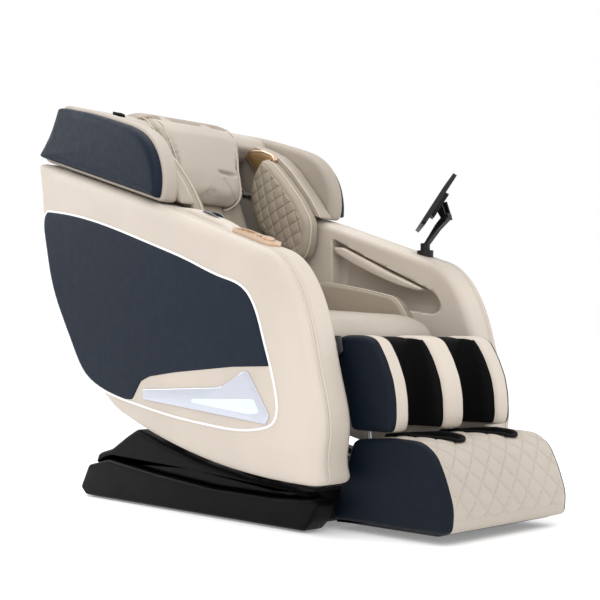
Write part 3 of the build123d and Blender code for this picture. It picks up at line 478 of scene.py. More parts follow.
bright = finish("brightSteel", mouldGroup,
                {"Color": (0.60, 0.61, 0.63), "Rough": 0.28, "Dust": 0.03, "Depth": 0.1},
                {"Metallic": 1.0})
motor = finish("motorGrey", mouldGroup, {"Color": (0.13, 0.14, 0.15), "Rough": 0.4, "Dust": 0.1})
piping = finish("whitePiping", mouldGroup, {"Color": (0.86, 0.86, 0.88), "Rough": 0.34, "Dust": 0.02})
silver = finish("silverTrim", mouldGroup,
                {"Color": (0.55, 0.57, 0.64), "Rough": 0.30, "Dust": 0.02, "Depth": 0.1},
                {"Metallic": 0.75})
gold = finish("roseGold", mouldGroup,
              {"Color": (0.66, 0.49, 0.36), "Rough": 0.30, "Dust": 0.02, "Depth": 0.08},
              {"Metallic": 0.9})
grille = finish("goldGrille", mouldGroup,
                {"Color": (0.34, 0.21, 0.09), "Rough": 0.4, "Dust": 0.02, "Depth": 0.5},
                {"Metallic": 0.6})
lensMaterial = finish("paleLens", mouldGroup, {"Color": (0.60, 0.80, 0.86), "Rough": 0.22, "Dust": 0.02},
                      {"Emission Color": (0.62, 0.90, 1.0, 1), "Emission Strength": 0.12, "Coat Weight": 0.5})
thread = finish("seamThread", mouldGroup, {"Color": (0.37, 0.32, 0.26), "Rough": 0.7, "Dust": 0.0})
cord = finish("beigePiping", skinGroup,
              {"Color": (0.55, 0.485, 0.41), "Rough": 0.4, "Grain": 900.0, "Crease": 0.0}, leather)
print("materials made")

slotMaterials = {
    "frame_steel": steel, "bright_steel": bright, "skirt_gloss": gloss, "black_plastic": plastic,
    "motor_grey": motor, "rubber_black": rubber, "beige_leather": beige, "taupe_leather": taupe,
    "navy_leather": navy, "black_fabric": lining, "white_piping": piping, "silver_trim": silver,
    "cool_lens": lensMaterial, "rose_gold": gold}
for row in frame["record"]["subparts"]:
    holder = frame["nodes"][row["node"]]
    for place in holder.material_slots:
        place.material = slotMaterials[row["material_slot"]]


def once(side, node):
    # a node that holds both sides is stood for by the left piece
    return (node,) if side > 0 else ()


def span(node):
    low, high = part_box(node)
    return np.array(low), np.array(high)


# Arms
armSet = {"edge": 0.030, "inner": 0.020, "seam": 0.0035, "soften": 0.012}
shellLow, shellHigh = span("side_shell_left")
seamX, half, armIn = float(shellLow[0]), float(shellHigh[0]), float(span("arm_panel_left")[0][0])
armShellShape = {"count": 420, "middle": 2, "capSteps": (2, 40)}
armPanelShape = {"count": 420, "middle": 3, "capSteps": (30, 2)}
armCutterShape = {"soften": 0.014, "count": 120, "rounds": (0.002, 0.02), "middle": 3, "capSteps": (3, 8)}


def buildArm(side, word):
    outline = cadLoops(f"side_shell_{word}", side * seamX)[0]
    slab(f"armShell_{word}", outline, seamX, half, side, [beige], "body", soften=armSet["soften"],
         rounds=(armSet["seam"], armSet["edge"]), replaces=(f"side_shell_{word}",), part="beige_leather",
         **armShellShape)
    panel = slab(f"armPanel_{word}", outline, armIn, seamX - 0.0006, side, [beige], "body",
                 soften=armSet["soften"], rounds=(armSet["inner"], armSet["seam"]),
                 replaces=(f"arm_panel_{word}",), part="beige_leather", **armPanelShape)
    cavity = cadLoops(f"arm_panel_{word}", side * armIn)[1]
    cutter = slab(f"armCutter_{word}", cavity, armIn - 0.03, seamX - 0.02, side, [taupe], "body",
                  **armCutterShape)
    carve(panel, cutter)
    # a row of stitches each side of the crown seam
    ring = softOutline(outline, 420, armSet["soften"])
    start = int(np.argmin(np.hypot(ring[:, 0] - shellLow[1] - 0.06, ring[:, 1] - shellLow[2] - 0.02)))
    ring = np.roll(ring, -start, 0)
    normal = outward(ring)
    keep = (ring[:, 1] > shellLow[2] + 0.02) & (ring[:, 0] < 0.05)
    for offset, label in ((-0.009, "a"), (0.009, "b")):
        line = np.c_[np.full(keep.sum(), side * (seamX + offset)), ring[keep]]
        facing = np.c_[np.zeros(keep.sum()), normal[keep]]
        order = np.argsort(np.unwrap(np.arctan2(line[:, 2] - 0.4, line[:, 1] - 0.2)) % (2 * np.pi))
        stitchRow(f"armStitch_{word}_{label}", line[order], facing[order], thread, "body")


def carve(target, cutter):
    # subtract one closed piece from another and drop the cutter
    cut = target.modifiers.new("carve", "BOOLEAN")
    cut.operation = "DIFFERENCE"
    cut.object = cutter
    cut.solver = "EXACT"
    graph = bpy.context.evaluated_depsgraph_get()
    result = bpy.data.meshes.new_from_object(target.evaluated_get(graph))
    target.modifiers.clear()
    target.data = result
    bpy.data.objects.remove(cutter)
    faceOut(target)


def faceOut(piece):
    # turn a closed piece the right way out: its volume is the sum of centre . normal * area / 3
    mesh = piece.data
    count = len(mesh.polygons)
    centre, normal, area = np.empty(count * 3), np.empty(count * 3), np.empty(count)
    mesh.polygons.foreach_get("center", centre)
    mesh.polygons.foreach_get("normal", normal)
    mesh.polygons.foreach_get("area", area)
    if np.sum(centre.reshape(-1, 3) * normal.reshape(-1, 3) * area[:, None]) < 0:
        mesh.flip_normals()


for side, word in bothSides:
    buildArm(side, word)
print("arms built")

inlayRing = cadLoops("side_inlays", half)[0]
pipingRing = cadLoops("side_piping", half + 0.002)[0]
inlayShape = {"soften": 0.004, "count": 420, "rounds": (0.001, 0.0045), "middle": 0, "capSteps": (2, 30),
              "crown": (0, 0.0012), "steps": 6}
sideTrimShape = {"soften": 0.0035, "rounds": (0.001, 0.0035), "middle": 0, "capSteps": (2, 14),
                 "crown": (0, 0.001), "steps": 6}
lightLensShape = {"soften": 0.004, "count": 200, "rounds": (0.001, 0.0022), "middle": 0,
                  "capSteps": (2, 12), "crown": (0, 0.0012), "steps": 5}
for side, word in bothSides:
    slab(f"inlay_{word}", inlayRing, half - 0.004, half + 0.0022, side, [navy], "body",
         part="navy_leather", replaces=once(side, "side_inlays"), **inlayShape)
    ring = grown(softOutline(pipingRing, 420, 0.004), -0.0025)
    pipe(f"sidePiping_{word}", side, half + 0.0006, ring, 0.0031, [piping], 10,
         replaces=once(side, "side_piping"), part="white_piping")
    slab(f"sideTrim_{word}", cadLoops("side_trims", half + 0.001)[0], half - 0.003, half + 0.0045, side,
         [silver], "body", part="silver_trim", replaces=once(side, "side_trims"), **sideTrimShape)
    slab(f"lightLens_{word}", cadLoops("light_lenses", half + 0.002)[0], half, half + 0.0058, side,
         [lensMaterial], "body", part="cool_lens", replaces=once(side, "light_lenses"), **lightLensShape)
flapHigh = span("arm_flaps")[1]
flapLoop = cadLoops("arm_flaps", armIn - 0.004)[0]
armFlapShape = {"soften": 0.004, "count": 260, "rounds": (0.007, 0.002), "capSteps": (10, 4),
                "crown": (0.001, 0)}
for side, word in bothSides:
    slab(f"armFlap_{word}", flapLoop, armIn - 0.006, float(flapHigh[0]), side, [beige], "body",
         replaces=once(side, "arm_flaps"), part="beige_leather", **armFlapShape)
hipIn, hipOut = armIn - 0.033, armIn - 0.0005
hipPadShape = {"soften": 0.008, "count": 220, "rounds": (0.011, 0.004), "capSteps": (16, 3),
               "crown": (0.005, 0)}
for side, word in bothSides:
    hip = cadLoops("hip_pads", hipIn)[0]
    slab(f"hipPad_{word}", hip, hipIn - 0.004, hipOut, side, [taupe], "body",
         replaces=once(side, "hip_pads"), part="taupe_leather", **hipPadShape)
    pipe(f"hipPiping_{word}", side, hipIn + 0.004, grown(softOutline(hip, 220, 0.008), 0.0005), 0.0026)
# raised console on the sitter's right arm, with an oval pocket
consoleSet = {"in": 0.268, "out": 0.322, "rise": 0.016, "armFront": (-0.362, 0.700),
              "armRear": (0.062, 0.842)}
pocketSet = {"x": 0.024, "y": -0.085, "wide": 0.017, "long": 0.045, "lift": 0.004, "bend": 6.4, "points": 72,
             "rim": 0.0022}


def armTop(y):
    # the arm's top is a straight line between its front and rear points
    (frontY, frontZ), (rearY, rearZ) = consoleSet["armFront"], consoleSet["armRear"]
    return frontZ + (rearZ - frontZ) / (rearY - frontY) * (y - frontY)


consoleLoop = np.array([(y, armTop(y) + lift) for y, lift in (
    (-0.215, -0.02), (-0.205, 0.003), (-0.15, 0.012), (-0.07, consoleSet["rise"]), (-0.01, 0.012),
    (0.05, 0.002), (0.052, -0.02))])
armConsoleShape = {"soften": 0.008, "count": 200, "rounds": (0.014, 0.020), "middle": 4,
                   "capSteps": (8, 8)}
slab("armConsole", consoleLoop, consoleSet["in"], consoleSet["out"], -1, [beige], "body",
     part="beige_leather", **armConsoleShape)
# the rim is an ellipse whose ends drop by bend * y^2
turn = np.linspace(0, 2 * np.pi, pocketSet["points"], endpoint=False)
pocketX = -(consoleSet["in"] + pocketSet["x"])
pocket = np.c_[pocketX + pocketSet["wide"] * np.cos(turn), pocketSet["y"] + pocketSet["long"] * np.sin(turn)]
rise = (armTop(pocket[:, 1]) + consoleSet["rise"] + pocketSet["lift"]
        - pocketSet["bend"] * (pocket[:, 1] - pocketSet["y"]) ** 2)
tube("pocketRim", np.c_[pocket, rise], pocketSet["rim"], [motor], "body", closed=True, sides=8)
lid = np.vstack([np.c_[pocket, rise], [pocketX, pocketSet["y"], armTop(pocketSet["y"]) + consoleSet["rise"]
                                       + pocketSet["lift"] - 0.001]])
step = np.arange(pocketSet["points"])
addPiece("pocketLining", lid, np.c_[np.full(len(step), len(step)), step, (step + 1) % len(step)], [lining],
         "body")
print("inlays and arm pads built")

# Hood
wingLow, wingHigh = span("wing_shell_left")
rimLow = span("wing_panel_left")[0]
wingSet = {"edge": 0.024, "rim": 0.018, "soften": 0.010, "tuck": 0.009}
wingShellShape = {"count": 360, "middle": 2, "capSteps": (2, 24), "crown": (0, 0.002)}
wingRimShape = {"count": 360, "middle": 2, "capSteps": (20, 2), "crown": (0.002, 0), "inset": -0.001}
bolsterShape = {"soften": 0.008, "count": 260, "rounds": (0.014, 0.014), "middle": 2, "capSteps": (12, 4),
                "crown": (0.003, 0)}
for side, word in bothSides:
    outline = cadLoops(f"wing_shell_{word}", side * wingHigh[0])[0]
    slab(f"wingShell_{word}", outline, wingLow[0], wingHigh[0], side, [navy], "body",
         soften=wingSet["soften"], rounds=(0.003, wingSet["edge"]), inset=wingSet["tuck"],
         replaces=(f"wing_shell_{word}",), part="navy_leather", **wingShellShape)
    # the far (left) wing rim takes the darkest painted-shade copy of the beige leather, the near (right) rim the
    # milder painted-shade copy
    slab(f"wingRim_{word}", outline, rimLow[0], wingLow[0] + 0.004, side, [shade if side > 0 else inner],
         "body", soften=wingSet["soften"], rounds=(wingSet["rim"], 0.010),
         replaces=(f"wing_panel_{word}",), part="beige_leather", **wingRimShape)
    bolster = cadLoops("shoulder_bolsters", rimLow[0] - 0.0005)[0]
    # the bolsters take the darkest painted-shade copy of the beige leather
    slab(f"bolster_{word}", bolster, armIn - 0.015, rimLow[0] - 0.0005, side, [shade], "body",
         replaces=once(side, "shoulder_bolsters"), part="beige_leather", **bolsterShape)
    ring = grown(softOutline(bolster, 260, 0.008), -0.006)
    pipe(f"bolsterPiping_{word}", side, armIn - 0.013, ring, 0.0024)

padLow, padHigh = span("shoulder_pad_left")
padSet = {"pitch": 0.048, "puff": 0.0034, "groove": 0.0022, "turn": 24, "stretch": 0.92,
          "speaker": (0.018, -0.006)}


def padRelief(grid, arc, kind):
    # diamonds on the inner face only: y and z turned by the set angle, in degrees
    turn = math.radians(padSet["turn"])
    y, z = grid[..., 1], grid[..., 2]
    a = y * math.cos(turn) + z * math.sin(turn)
    b = -y * math.sin(turn) + z * math.cos(turn)
    cells = quilt(a, b * padSet["stretch"], padSet["pitch"], padSet["groove"], padSet["puff"])
    return np.where(kind < 0, cells, 0)


shoulderPadShape = {"soften": 0.012, "count": 420, "rounds": (0.020, 0.008), "middle": 2,
                    "capSteps": (56, 4), "crown": (0.008, 0)}
speakerRimShape = {"count": 200, "rounds": (0.006, 0.002), "capSteps": (6, 2), "crown": (-0.003, 0)}
speakerGrilleShape = {"count": 200, "rounds": (0.002, 0.001), "capSteps": (14, 2), "crown": (0.003, 0),
                      "inset": 0.010}
for side, word in bothSides:
    outline = cadLoops(f"shoulder_pad_{word}", side * padLow[0])[0]
    slab(f"shoulderPad_{word}", outline, padLow[0] - 0.006, padHigh[0], side, [taupe], "body",
         relief=padRelief, replaces=(f"shoulder_pad_{word}",), part="taupe_leather", **shoulderPadShape)
    ring = grown(softOutline(outline, 420, 0.012), 0.0008)
    pipe(f"shoulderPiping_{word}", side, padLow[0] + 0.016, ring, 0.0026)
    cone = cadLoops("speakers", span("speakers")[1][0])[0] + np.array(padSet["speaker"])
    spkIn = armIn - 0.035
    slab(f"speakerRim_{word}", cone, spkIn, armIn - 0.016, side, [gold], "body",
         replaces=once(side, "speakers"), part="rose_gold", **speakerRimShape)
    slab(f"speakerGrille_{word}", cone, spkIn - 0.0015, spkIn + 0.006, side, [grille], "body",
         **speakerGrilleShape)
print("hood sides built")


# Seat and back
clothSet = {"pressure": 4.0, "cap": 0.010, "frames": 20, "seat": 0.007, "pillow": 0.006}


def readPoints(mesh):
    spots = np.empty(len(mesh.vertices) * 3)
    mesh.vertices.foreach_get("co", spots)
    return spots.reshape(-1, 3)


def bake(piece):
    # apply what the piece's modifiers give at this frame
    graph = bpy.context.evaluated_depsgraph_get()
    result = bpy.data.meshes.new_from_object(piece.evaluated_get(graph))
    piece.modifiers.clear()
    return result


def swell(piece, voxel):
    # cloth under pressure and no gravity: each point moves at most the cap from where it began
    materials = list(piece.data.materials)
    shape = piece.modifiers.new("remesh", "REMESH")
    shape.mode, shape.voxel_size = "VOXEL", voxel
    piece.data = bake(piece)
    start = readPoints(piece.data)
    cloth = piece.modifiers.new("cloth", "CLOTH")
    cloth.settings.use_pressure = True
    cloth.settings.uniform_pressure_force = clothSet["pressure"]
    cloth.settings.effector_weights.gravity = 0
    cloth.point_cache.frame_start, cloth.point_cache.frame_end = 1, clothSet["frames"]
    for step in range(1, clothSet["frames"] + 1):
        scene.frame_set(step)
    moved = bake(piece)
    shift = readPoints(moved) - start
    reach = np.linalg.norm(shift, axis=1)[:, None]
    shift *= np.minimum(1, clothSet["cap"] / np.maximum(reach, 1e-9))
    moved.vertices.foreach_set("co", (start + shift).ravel())
    piece.data = moved
    finer = piece.modifiers.new("finer", "SUBSURF")
    finer.levels = finer.render_levels = 1
    piece.data = bake(piece)
    piece.data.materials.clear()
    for material in materials:
        piece.data.materials.append(material)
    piece.data.polygons.foreach_set("use_smooth", np.full(len(piece.data.polygons), True))
    scene.frame_set(1)


def press(piece, field):
    # move every point along its normal by the field's height there
    mesh = piece.data
    spots, normals = readPoints(mesh), np.empty(len(mesh.vertices) * 3)
    mesh.vertices.foreach_get("normal", normals)
    normals = normals.reshape(-1, 3)
    mesh.vertices.foreach_set("co", (spots + normals * field(spots, normals)[:, None]).ravel())
    mesh.update()


seatLow, seatHigh = span("seat_cushion")


def seatField(spots, normals):
    # sewn channels across the seat near its front and one down each side, on the top only
    x, y = spots[:, 0], spots[:, 1]
    cuts = sum(np.exp(-((y - seatLow[1] - line) / 0.005) ** 2) for line in seatSet["channels"])
    sides = np.exp(-((np.abs(x) - seatSet["side"]) / 0.005) ** 2) * (y > seatLow[1] + seatSet["channels"][0])
    return -seatSet["depth"] * np.minimum(cuts + sides, 1) * (normals[:, 2] > 0.3)


seatSet = {"channels": (0.10, 0.20), "side": 0.150, "depth": 0.005, "shrink": 0.003}
seatCushionShape = {"soften": 0.012, "count": 420, "rounds": (0.024, 0.024), "middle": 120,
                    "capSteps": (16, 16)}
seat = slab("seatCushion", cadLoops("seat_cushion", seatHigh[0])[0], seatLow[0] + seatSet["shrink"],
            seatHigh[0] - seatSet["shrink"], 1, [inner], "body", inset=seatSet["shrink"],
            replaces=("seat_cushion",), part="taupe_leather", **seatCushionShape)
swell(seat, clothSet["seat"])
press(seat, seatField)
print("seat cushion swelled")

backLow, backHigh = span("back_cushion")


def backField(spots, normals):
    # two long channels either side of the spine and short ones across it, on the front only
    x, z = spots[:, 0], spots[:, 2]
    long = np.exp(-((np.abs(x) - backSet["spine"]) / 0.006) ** 2)
    cross = np.exp(-(((z - backLow[2]) % backSet["pitch"] - backSet["pitch"] / 2) / 0.005) ** 2)
    lines = np.maximum(long, cross * (np.abs(x) < backSet["spine"]))
    return -backSet["depth"] * lines * (normals[:, 1] < -0.5)


backSet = {"spine": 0.085, "pitch": 0.13, "depth": 0.006, "shrink": 0.003}
backCushionShape = {"soften": 0.012, "count": 420, "rounds": (0.020, 0.020), "middle": 110,
                    "capSteps": (14, 14)}
back = slab("backCushion", cadLoops("back_cushion", backHigh[0])[0], backLow[0] + backSet["shrink"],
            backHigh[0] - backSet["shrink"], 1, [taupe], "body", inset=backSet["shrink"],
            replaces=("back_cushion",), part="taupe_leather", **backCushionShape)
swell(back, clothSet["seat"])
press(back, backField)
print("back cushion swelled")

crownTop = wingHigh[2]
crownRear = backHigh[1]
hoodRoll = [(crownRear - 0.215, crownTop - 0.092), (crownRear - 0.19, crownTop - 0.055),
            (crownRear - 0.10, crownTop - 0.024), (crownRear + 0.004, crownTop - 0.010),
            (crownRear + 0.020, crownTop - 0.05), (crownRear + 0.03, crownTop - 0.13),
            (crownRear - 0.06, crownTop - 0.13), (crownRear - 0.16, crownTop - 0.13)]
hoodRollShape = {"soften": 0.012, "count": 200, "rounds": (0.004, 0.004), "middle": 60,
                 "capSteps": (6, 6)}
roll = slab("hoodRoll", np.array(hoodRoll), -rimLow[0] - 0.002, rimLow[0] + 0.002, 1, [inner], "body",
            **hoodRollShape)
# two black strap tabs on the brow of the hood
tabLoop = np.array([(crownRear - 0.172, crownTop - 0.040), (crownRear - 0.150, crownTop - 0.031),
                    (crownRear - 0.150, crownTop - 0.046), (crownRear - 0.172, crownTop - 0.055)])
tabSet = {"half": 0.016, "places": ((-0.262, "right"), (0.02, "middle"))}
tabShape = {"soften": 0.002, "count": 60, "rounds": (0.002, 0.002), "middle": 2, "capSteps": (3, 3)}
for middle, label in tabSet["places"]:
    slab(f"strapTab_{label}", tabLoop, middle - tabSet["half"], middle + tabSet["half"], 1, [lining],
         "body", **tabShape)

pillowLow, pillowHigh = span("head_pillow")


pillowSet = {"corner": 0.085, "draw": 0.5, "fold": 0.014, "dart": 0.004, "widen": 0.22, "tuck": 0.885}


def pillowWarp(grid):
    # rounded lower corners: half width = w (1 - draw (1 - sqrt(1 - ((r - h) / r)^2))), h above the lower edge
    out = grid.copy()
    radius = pillowSet["corner"]
    h = np.clip(grid[..., 2] - pillowLow[2], 0.0, radius)
    scale = 1 - pillowSet["draw"] * (1 - np.sqrt(np.maximum(0, 1 - ((radius - h) / radius) ** 2)))
    top = np.clip((grid[..., 2] - (pillowHigh[2] - 0.16)) / 0.16, 0, 1)
    out[..., 0] = grid[..., 0] * scale * (1 + pillowSet["widen"] * top)
    out[..., 2] = pillowLow[2] + (grid[..., 2] - pillowLow[2]) * pillowSet["tuck"]
    return out


def pillowField(spots, normals):
    # a slanting dart near the sitter's left and a short fold above it
    x, z = spots[:, 0], spots[:, 2]
    slant = (x - 0.085) * 0.80 + (z - (pillowLow[2] + 0.055)) * 0.60
    along = (x - 0.085) * 0.60 - (z - (pillowLow[2] + 0.055)) * 0.80
    dart = np.exp(-(slant / 0.0022) ** 2) * (np.abs(along) < 0.055)
    fold = np.exp(-((z - pillowLow[2] - 0.118 + 0.10 * (x - 0.07)) / 0.005) ** 2) * np.exp(
        -((x - 0.07) / 0.032) ** 4)
    return (normals[:, 1] < -0.3) * -(pillowSet["dart"] * dart + pillowSet["fold"] * fold)


headPillowShape = {"soften": 0.014, "count": 420, "rounds": (0.022, 0.022), "middle": 160,
                   "capSteps": (14, 14), "crown": (0.004, 0.004), "inset": 0.003}
pillow = slab("headPillow", cadLoops("head_pillow", pillowHigh[0])[0], pillowLow[0], pillowHigh[0], 1,
              [inner], "pillow", warp=pillowWarp, replaces=("head_pillow",), part="beige_leather",
              **headPillowShape)
swell(pillow, clothSet["pillow"])
press(pillow, pillowField)
ring = softOutline(cadLoops("head_pillow", pillowHigh[0])[0], 360, 0.014)
for side, word in bothSides:
    for inset, grow, label in ((0.002, -0.020, "a"), (0.024, 0.001, "b")):
        path = np.c_[np.full(360, side * (pillowHigh[0] - inset)), grown(ring, grow)]
        path = pillowWarp(path[None])[0]
        tube(f"pillowPiping_{word}_{label}", path, 0.0022, [cord], "pillow", closed=True, sides=8)
# two straps hold the pillow to its pivot on the hood's brow
strapLoop = np.array([(0.448, 1.176), (0.432, 1.182), (0.378, 1.140), (0.392, 1.128)])
pillowStrapShape = {"soften": 0.003, "count": 120, "rounds": (0.003, 0.003), "middle": 4,
                    "capSteps": (4, 4)}
for side, word in bothSides:
    slab(f"pillowStrap_{word}", strapLoop, 0.060, 0.100, side, [inner], "pillow", **pillowStrapShape)
print("cushions built")

# Leg rest
calfLow, calfHigh = span("calf_cushion")
calfLoop = cadLoops("calf_cushion", calfHigh[0])[0]
calfSet = {"divider": 0.040, "trough": 0.130, "lip": 0.012, "wall": 0.006, "hinge": (-0.500, 0.455)}
dividerHalf, troughWide = calfSet["divider"], calfSet["trough"]
wallIn = dividerHalf + troughWide
legNames = ("calf_cushion",)
calfWallShape = {"soften": 0.010, "count": 300, "middle": 6, "capSteps": (18, 18),
                 "crown": (0.003, 0.003)}
for low, high, side, word in ((wallIn, calfHigh[0], 1, "left"), (wallIn, calfHigh[0], -1, "right"),
                              (-dividerHalf, dividerHalf, 1, "middle")):
    outer = word != "middle"
    slab(f"calfWall_{word}", calfLoop, low, high, side, [beige, shadedNavy, lining], "calf",
         rounds=(0.014, 0.016 if outer else 0.014), capMark=(2, 1 if outer else 2),
         edgeMark=(2, 6) if outer else (2, 2), replaces=legNames, part="beige_leather", **calfWallShape)
    legNames = ()
troughBack = span("calf_lining")[1][1]


def troughGrid(centre):
    # trough at each height, t from 0 to pi: x = centre - w sign(cos t) |cos t|^0.55 and
    # y = front + (back - front) sin(t)^0.5
    heights = np.linspace(calfLow[2] + 0.006, calfHigh[2] - 0.012, 60)
    ring = softOutline(calfLoop, 600, 0.012)
    front = np.array([ring[np.abs(ring[:, 1] - z) < 0.004][:, 0].min() for z in heights]) + calfSet["lip"]
    backs = np.minimum(troughBack, front + 0.2)
    turn = np.linspace(0, np.pi, 48)
    x = centre - (troughWide / 2 - 0.001) * np.sign(np.cos(turn)) * np.abs(np.cos(turn)) ** 0.55
    y = front[:, None] + (backs - front)[:, None] * np.sin(turn)[None] ** 0.5
    return np.stack([np.broadcast_to(x, y.shape), y, np.broadcast_to(heights[:, None], y.shape)], -1)


for side, word in bothSides:
    grid = troughGrid(side * (dividerHalf + troughWide / 2))
    faces = gridFaces(*grid.shape[:2], closed=False)
    piece = addPiece(f"calfTrough_{word}", grid.reshape(-1, 3), faces, [lining], "calf",
                     replaces=once(side, "calf_lining"))
    wall = piece.modifiers.new("wall", "SOLIDIFY")
    wall.thickness, wall.offset = calfSet["wall"], 0
# each trough's back is a pad that rises over the calf hinge
hinge = np.array(calfSet["hinge"])
backPad = np.array([(troughBack - 0.004, calfLow[2] + 0.006), (hinge[0] - 0.035, calfLow[2] + 0.006),
                    hinge + (0.015, 0.002), hinge + (0.006, 0.016), hinge + (-0.030, 0.0235),
                    hinge + (-0.075, 0.018), (troughBack - 0.012, hinge[1] - 0.012)])
calfBackShape = {"soften": 0.014, "count": 200, "rounds": (0.034, 0.034), "middle": 16,
                 "capSteps": (6, 6), "steps": 12}
for side, word in bothSides:
    slab(f"calfBack_{word}", backPad, dividerHalf - 0.002, wallIn + 0.002, side, [lining], "calf",
         **calfBackShape)
print("calf rest built")

# Foot rest
footLow, footHigh = span("foot_shell")
footLoop = cadLoops("foot_shell", footHigh[0])[0]
# the cover hangs a little over the sole
footLoop[:, 1] -= 0.020 * np.clip((0.10 - footLoop[:, 1]) / 0.05, 0, 1)
footSet = {"pitch": 0.066, "puff": 0.0028, "groove": 0.0016, "reach": 0.23, "floor": 0.012, "side": 0.222}


def footRelief(grid, arc, kind):
    # diamonds over the top and front: a is the distance round the outline, b the distance across
    y, z = grid[..., 1], grid[..., 2]
    rear = footLow[1] + footSet["reach"]
    face = (kind == 0) & (y < rear) & (z > footLow[2] + footSet["floor"])
    fade = np.clip((rear - y) / 0.02, 0, 1) * np.clip((footSet["side"] - np.abs(grid[..., 0])) / 0.012, 0, 1)
    cells = quilt(arc, grid[..., 0], footSet["pitch"], footSet["groove"], footSet["puff"])
    return np.where(face, cells * fade, 0)


footShellShape = {"soften": 0.014, "count": 420, "rounds": (0.014, 0.014), "middle": 150,
                  "capSteps": (12, 12), "crown": (0.003, 0.003), "capMark": (1, 1), "edgeMark": (6, 6)}
foot = slab("footShell", footLoop, footLow[0], footHigh[0], 1, [inner, shadedNavy], "foot",
            relief=footRelief, replaces=("foot_shell",), part="beige_leather", **footShellShape)
wellLow, wellHigh = span("foot_lining")
wellX = dividerHalf + troughWide / 2
# lip gives each ring of the rolled lip: how far outside the cut, how far above the top
wellSet = {"wide": 0.058, "deep": 0.104, "ahead": 0.1077, "above": 0.03, "floor": 0.0035, "inside": 0.003,
           "wall": 0.0015, "lip": ((0.010, -0.001), (0.009, 0.004), (0.005, 0.0065), (0.001, 0.005),
                                   (-0.002, 0.0), (-0.003, -0.010))}
wellY = float(wellHigh[1]) - wellSet["ahead"]
wellFloor = float(wellLow[2])


def ellipseRing(centre, wide, deep, z, count=96):
    turn = np.linspace(0, 2 * np.pi, count, endpoint=False)
    return np.stack([centre + wide * np.cos(turn), wellY + deep * np.sin(turn), np.full(count, z)], -1)


def topLine(y):
    # height of the foot rest's top at each y, read from its outline
    ring = evenly(footLoop, 1600)
    upper = ring[ring[:, 1] > (footLow[2] + footHigh[2]) / 2]
    upper = upper[np.argsort(upper[:, 0])]
    return np.interp(y, upper[:, 0], upper[:, 1])


for side, word in bothSides:
    # the cutter is a closed oval column from the cup's floor to above the top
    middle = side * wellX
    topCut = footHigh[2] + wellSet["above"]
    walls = np.stack([ellipseRing(middle, wellSet["wide"], wellSet["deep"], z)
                      for z in np.linspace(wellFloor, topCut, 8)])
    points = np.vstack([walls.reshape(-1, 3), [middle, wellY, wellFloor], [middle, wellY, topCut]])
    rows, count = walls.shape[:2]
    step = np.arange(count)
    faces = gridFaces(rows, count).tolist()
    faces += np.c_[np.full(count, rows * count), (step + 1) % count, step].tolist()
    faces += np.c_[np.full(count, rows * count + 1), (rows - 1) * count + step,
                   (rows - 1) * count + (step + 1) % count].tolist()
    carve(foot, addPiece(f"wellCutter_{word}", points, faces, [lining], "foot"))
    # lining: a rolled lip that follows the top, then the cup down to the floor
    topZ = topLine(wellY + wellSet["deep"] * np.sin(np.linspace(0, 2 * np.pi, count, endpoint=False)))
    floorZ = wellFloor + wellSet["floor"]
    innerWide, innerDeep = wellSet["wide"] - wellSet["inside"], wellSet["deep"] - wellSet["inside"]
    rings = []
    for wide, up in wellSet["lip"]:
        ring = ellipseRing(middle, wellSet["wide"] + wide, wellSet["deep"] + wide, 0)
        ring[:, 2] = topZ + up
        rings.append(ring)
    for share in np.linspace(0.15, 1, 8):
        ring = ellipseRing(middle, innerWide, innerDeep, 0)
        ring[:, 2] = (topZ - 0.010) * (1 - share) + floorZ * share
        rings.append(ring)
    rings += [ellipseRing(middle, innerWide * shrink, innerDeep * shrink, floorZ)
              for shrink in (0.8, 0.55, 0.3)]
    grid = np.stack(rings)
    points = np.vstack([grid.reshape(-1, 3), [middle, wellY, floorZ]])
    faces = gridFaces(len(grid), count).tolist()
    faces += np.c_[np.full(count, len(grid) * count), (len(grid) - 1) * count + step,
                   (len(grid) - 1) * count + (step + 1) % count].tolist()
    cup = addPiece(f"footWell_{word}", points, faces, [lining], "foot",
                   replaces=once(side, "foot_lining"))
    wall = cup.modifiers.new("wall", "SOLIDIFY")
    wall.thickness, wall.offset = wellSet["wall"], 0
footSoleShape = {"soften": 0.004, "count": 200, "rounds": (0.006, 0.006), "middle": 4, "capSteps": (6, 6),
                 "inset": 0.006}
slab("footSole", cadLoops("foot_sole", span("foot_sole")[1][0])[0], -footHigh[0] + 0.016,
     footHigh[0] - 0.016, 1, [rubber], "foot", replaces=("foot_sole",), part="black_plastic",
     **footSoleShape)
print("foot rest built")

# Base and rear
skirtLow, skirtHigh = span("base_skirt_left")
skirtRise = skirtHigh[0] - 0.018      # station of the skirt's upper step
skirtShape = {"soften": 0.004, "count": 320, "rounds": (0.002, 0.009), "capSteps": (3, 14),
              "crown": (0, 0.001)}
skirtRiseShape = {"soften": 0.008, "count": 320, "rounds": (0.002, 0.014), "capSteps": (3, 14)}
for side, word in bothSides:
    lower = cadLoops(f"base_skirt_{word}", side * skirtHigh[0])[0]
    upper = cadLoops(f"base_skirt_{word}", side * skirtRise)[0]
    slab(f"skirt_{word}", lower, skirtLow[0], skirtHigh[0], side, [gloss], "base",
         replaces=(f"base_skirt_{word}",), part="skirt_gloss", **skirtShape)
    slab(f"skirtRise_{word}", upper, skirtLow[0], skirtRise, side, [gloss], "base",
         **skirtRiseShape)
rearLow, rearHigh = span("rear_shell")
rearSet = {"across": 0.17, "height": 0.62, "width": 0.004, "depth": 0.003}


def rearRelief(grid, arc, kind):
    # two upright seams and one level seam, each a groove of depth exp(-(distance / width)^2)
    x, z = grid[..., 0], grid[..., 2]
    seams = (np.exp(-((np.abs(x) - rearSet["across"]) / rearSet["width"]) ** 2)
             + np.exp(-((z - rearSet["height"]) / rearSet["width"]) ** 2))
    return np.where(kind == 0, -rearSet["depth"] * np.minimum(seams, 1), 0)


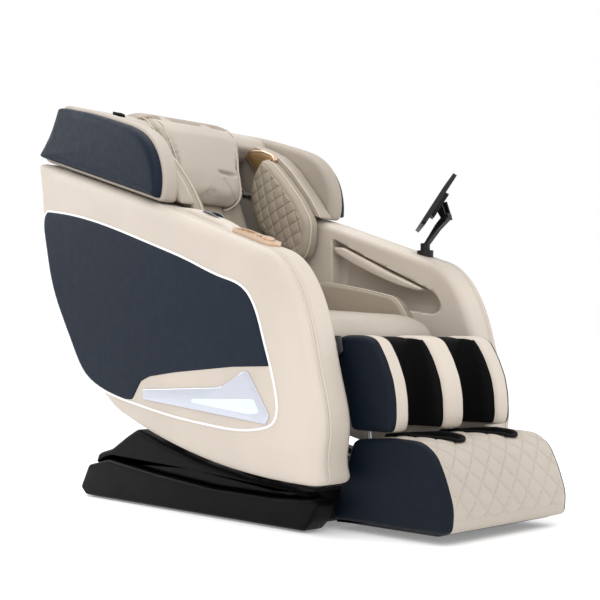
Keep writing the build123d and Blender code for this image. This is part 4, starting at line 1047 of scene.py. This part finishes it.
rearShellShape = {"soften": 0.004, "count": 420, "rounds": (0.004, 0.004), "middle": 130,
                  "capSteps": (4, 4)}
slab("rearShell", cadLoops("rear_shell", rearHigh[0])[0], rearLow[0], rearHigh[0], 1, [beige], "body",
     relief=rearRelief, replaces=("rear_shell",), part="beige_leather", **rearShellShape)
print("base and rear built")


# Stage and light
stageSet = {"floor": 60.0, "color": (0.93, 0.93, 0.93, 1), "glow": 0.22}


def makeStage():
    material = bpy.data.materials.new("paleFloor")
    material.use_nodes = True
    material.node_tree.nodes["Principled BSDF"].inputs["Base Color"].default_value = stageSet["color"]
    material.node_tree.nodes["Principled BSDF"].inputs["Roughness"].default_value = 0.9
    material.node_tree.nodes["Principled BSDF"].inputs["Emission Color"].default_value = (1, 1, 1, 1)
    material.node_tree.nodes["Principled BSDF"].inputs["Emission Strength"].default_value = stageSet["glow"]
    size = stageSet["floor"]
    mesh = bpy.data.meshes.new("floor")
    corners = [(-size, -size, 0), (size, -size, 0), (size, size, 0), (-size, size, 0)]
    mesh.from_pydata(corners, [], [(0, 1, 2, 3)])
    mesh.materials.append(material)
    floor = bpy.data.objects.new("floor", mesh)
    scene.collection.objects.link(floor)


def addLight(name, place, aim, size, power):
    data = bpy.data.lights.new(name, "AREA")
    data.energy, data.size = power, size
    lamp = bpy.data.objects.new(name, data)
    scene.collection.objects.link(lamp)
    lamp.location = place
    look = np.array(aim) - np.array(place)
    lamp.rotation_euler = (math.atan2(math.hypot(look[0], look[1]), -look[2]), 0,
                           math.atan2(look[1], look[0]) - math.pi / 2)


makeStage()
addLight("keyLight", (-2.6, -3.2, 3.4), (0, 0, 0.6), 2.6, 60)
addLight("fillLight", (3.2, -2.6, 2.6), (0, 0, 0.6), 2.6, 22)
addLight("topLight", (0, 0.6, 4.0), (0, 0, 0.5), 3.0, 60)
addLight("rearLight", (-1.5, 3.6, 2.6), (0, 0, 0.7), 2.2, 40)
world = bpy.data.worlds.new("studio")
scene.world = world
world.use_nodes = True
world.node_tree.nodes["Background"].inputs["Color"].default_value = (1, 1, 1, 1)
world.node_tree.nodes["Background"].inputs["Strength"].default_value = 1.0
scene.view_settings.view_transform = "Standard"
print("stage and light set")
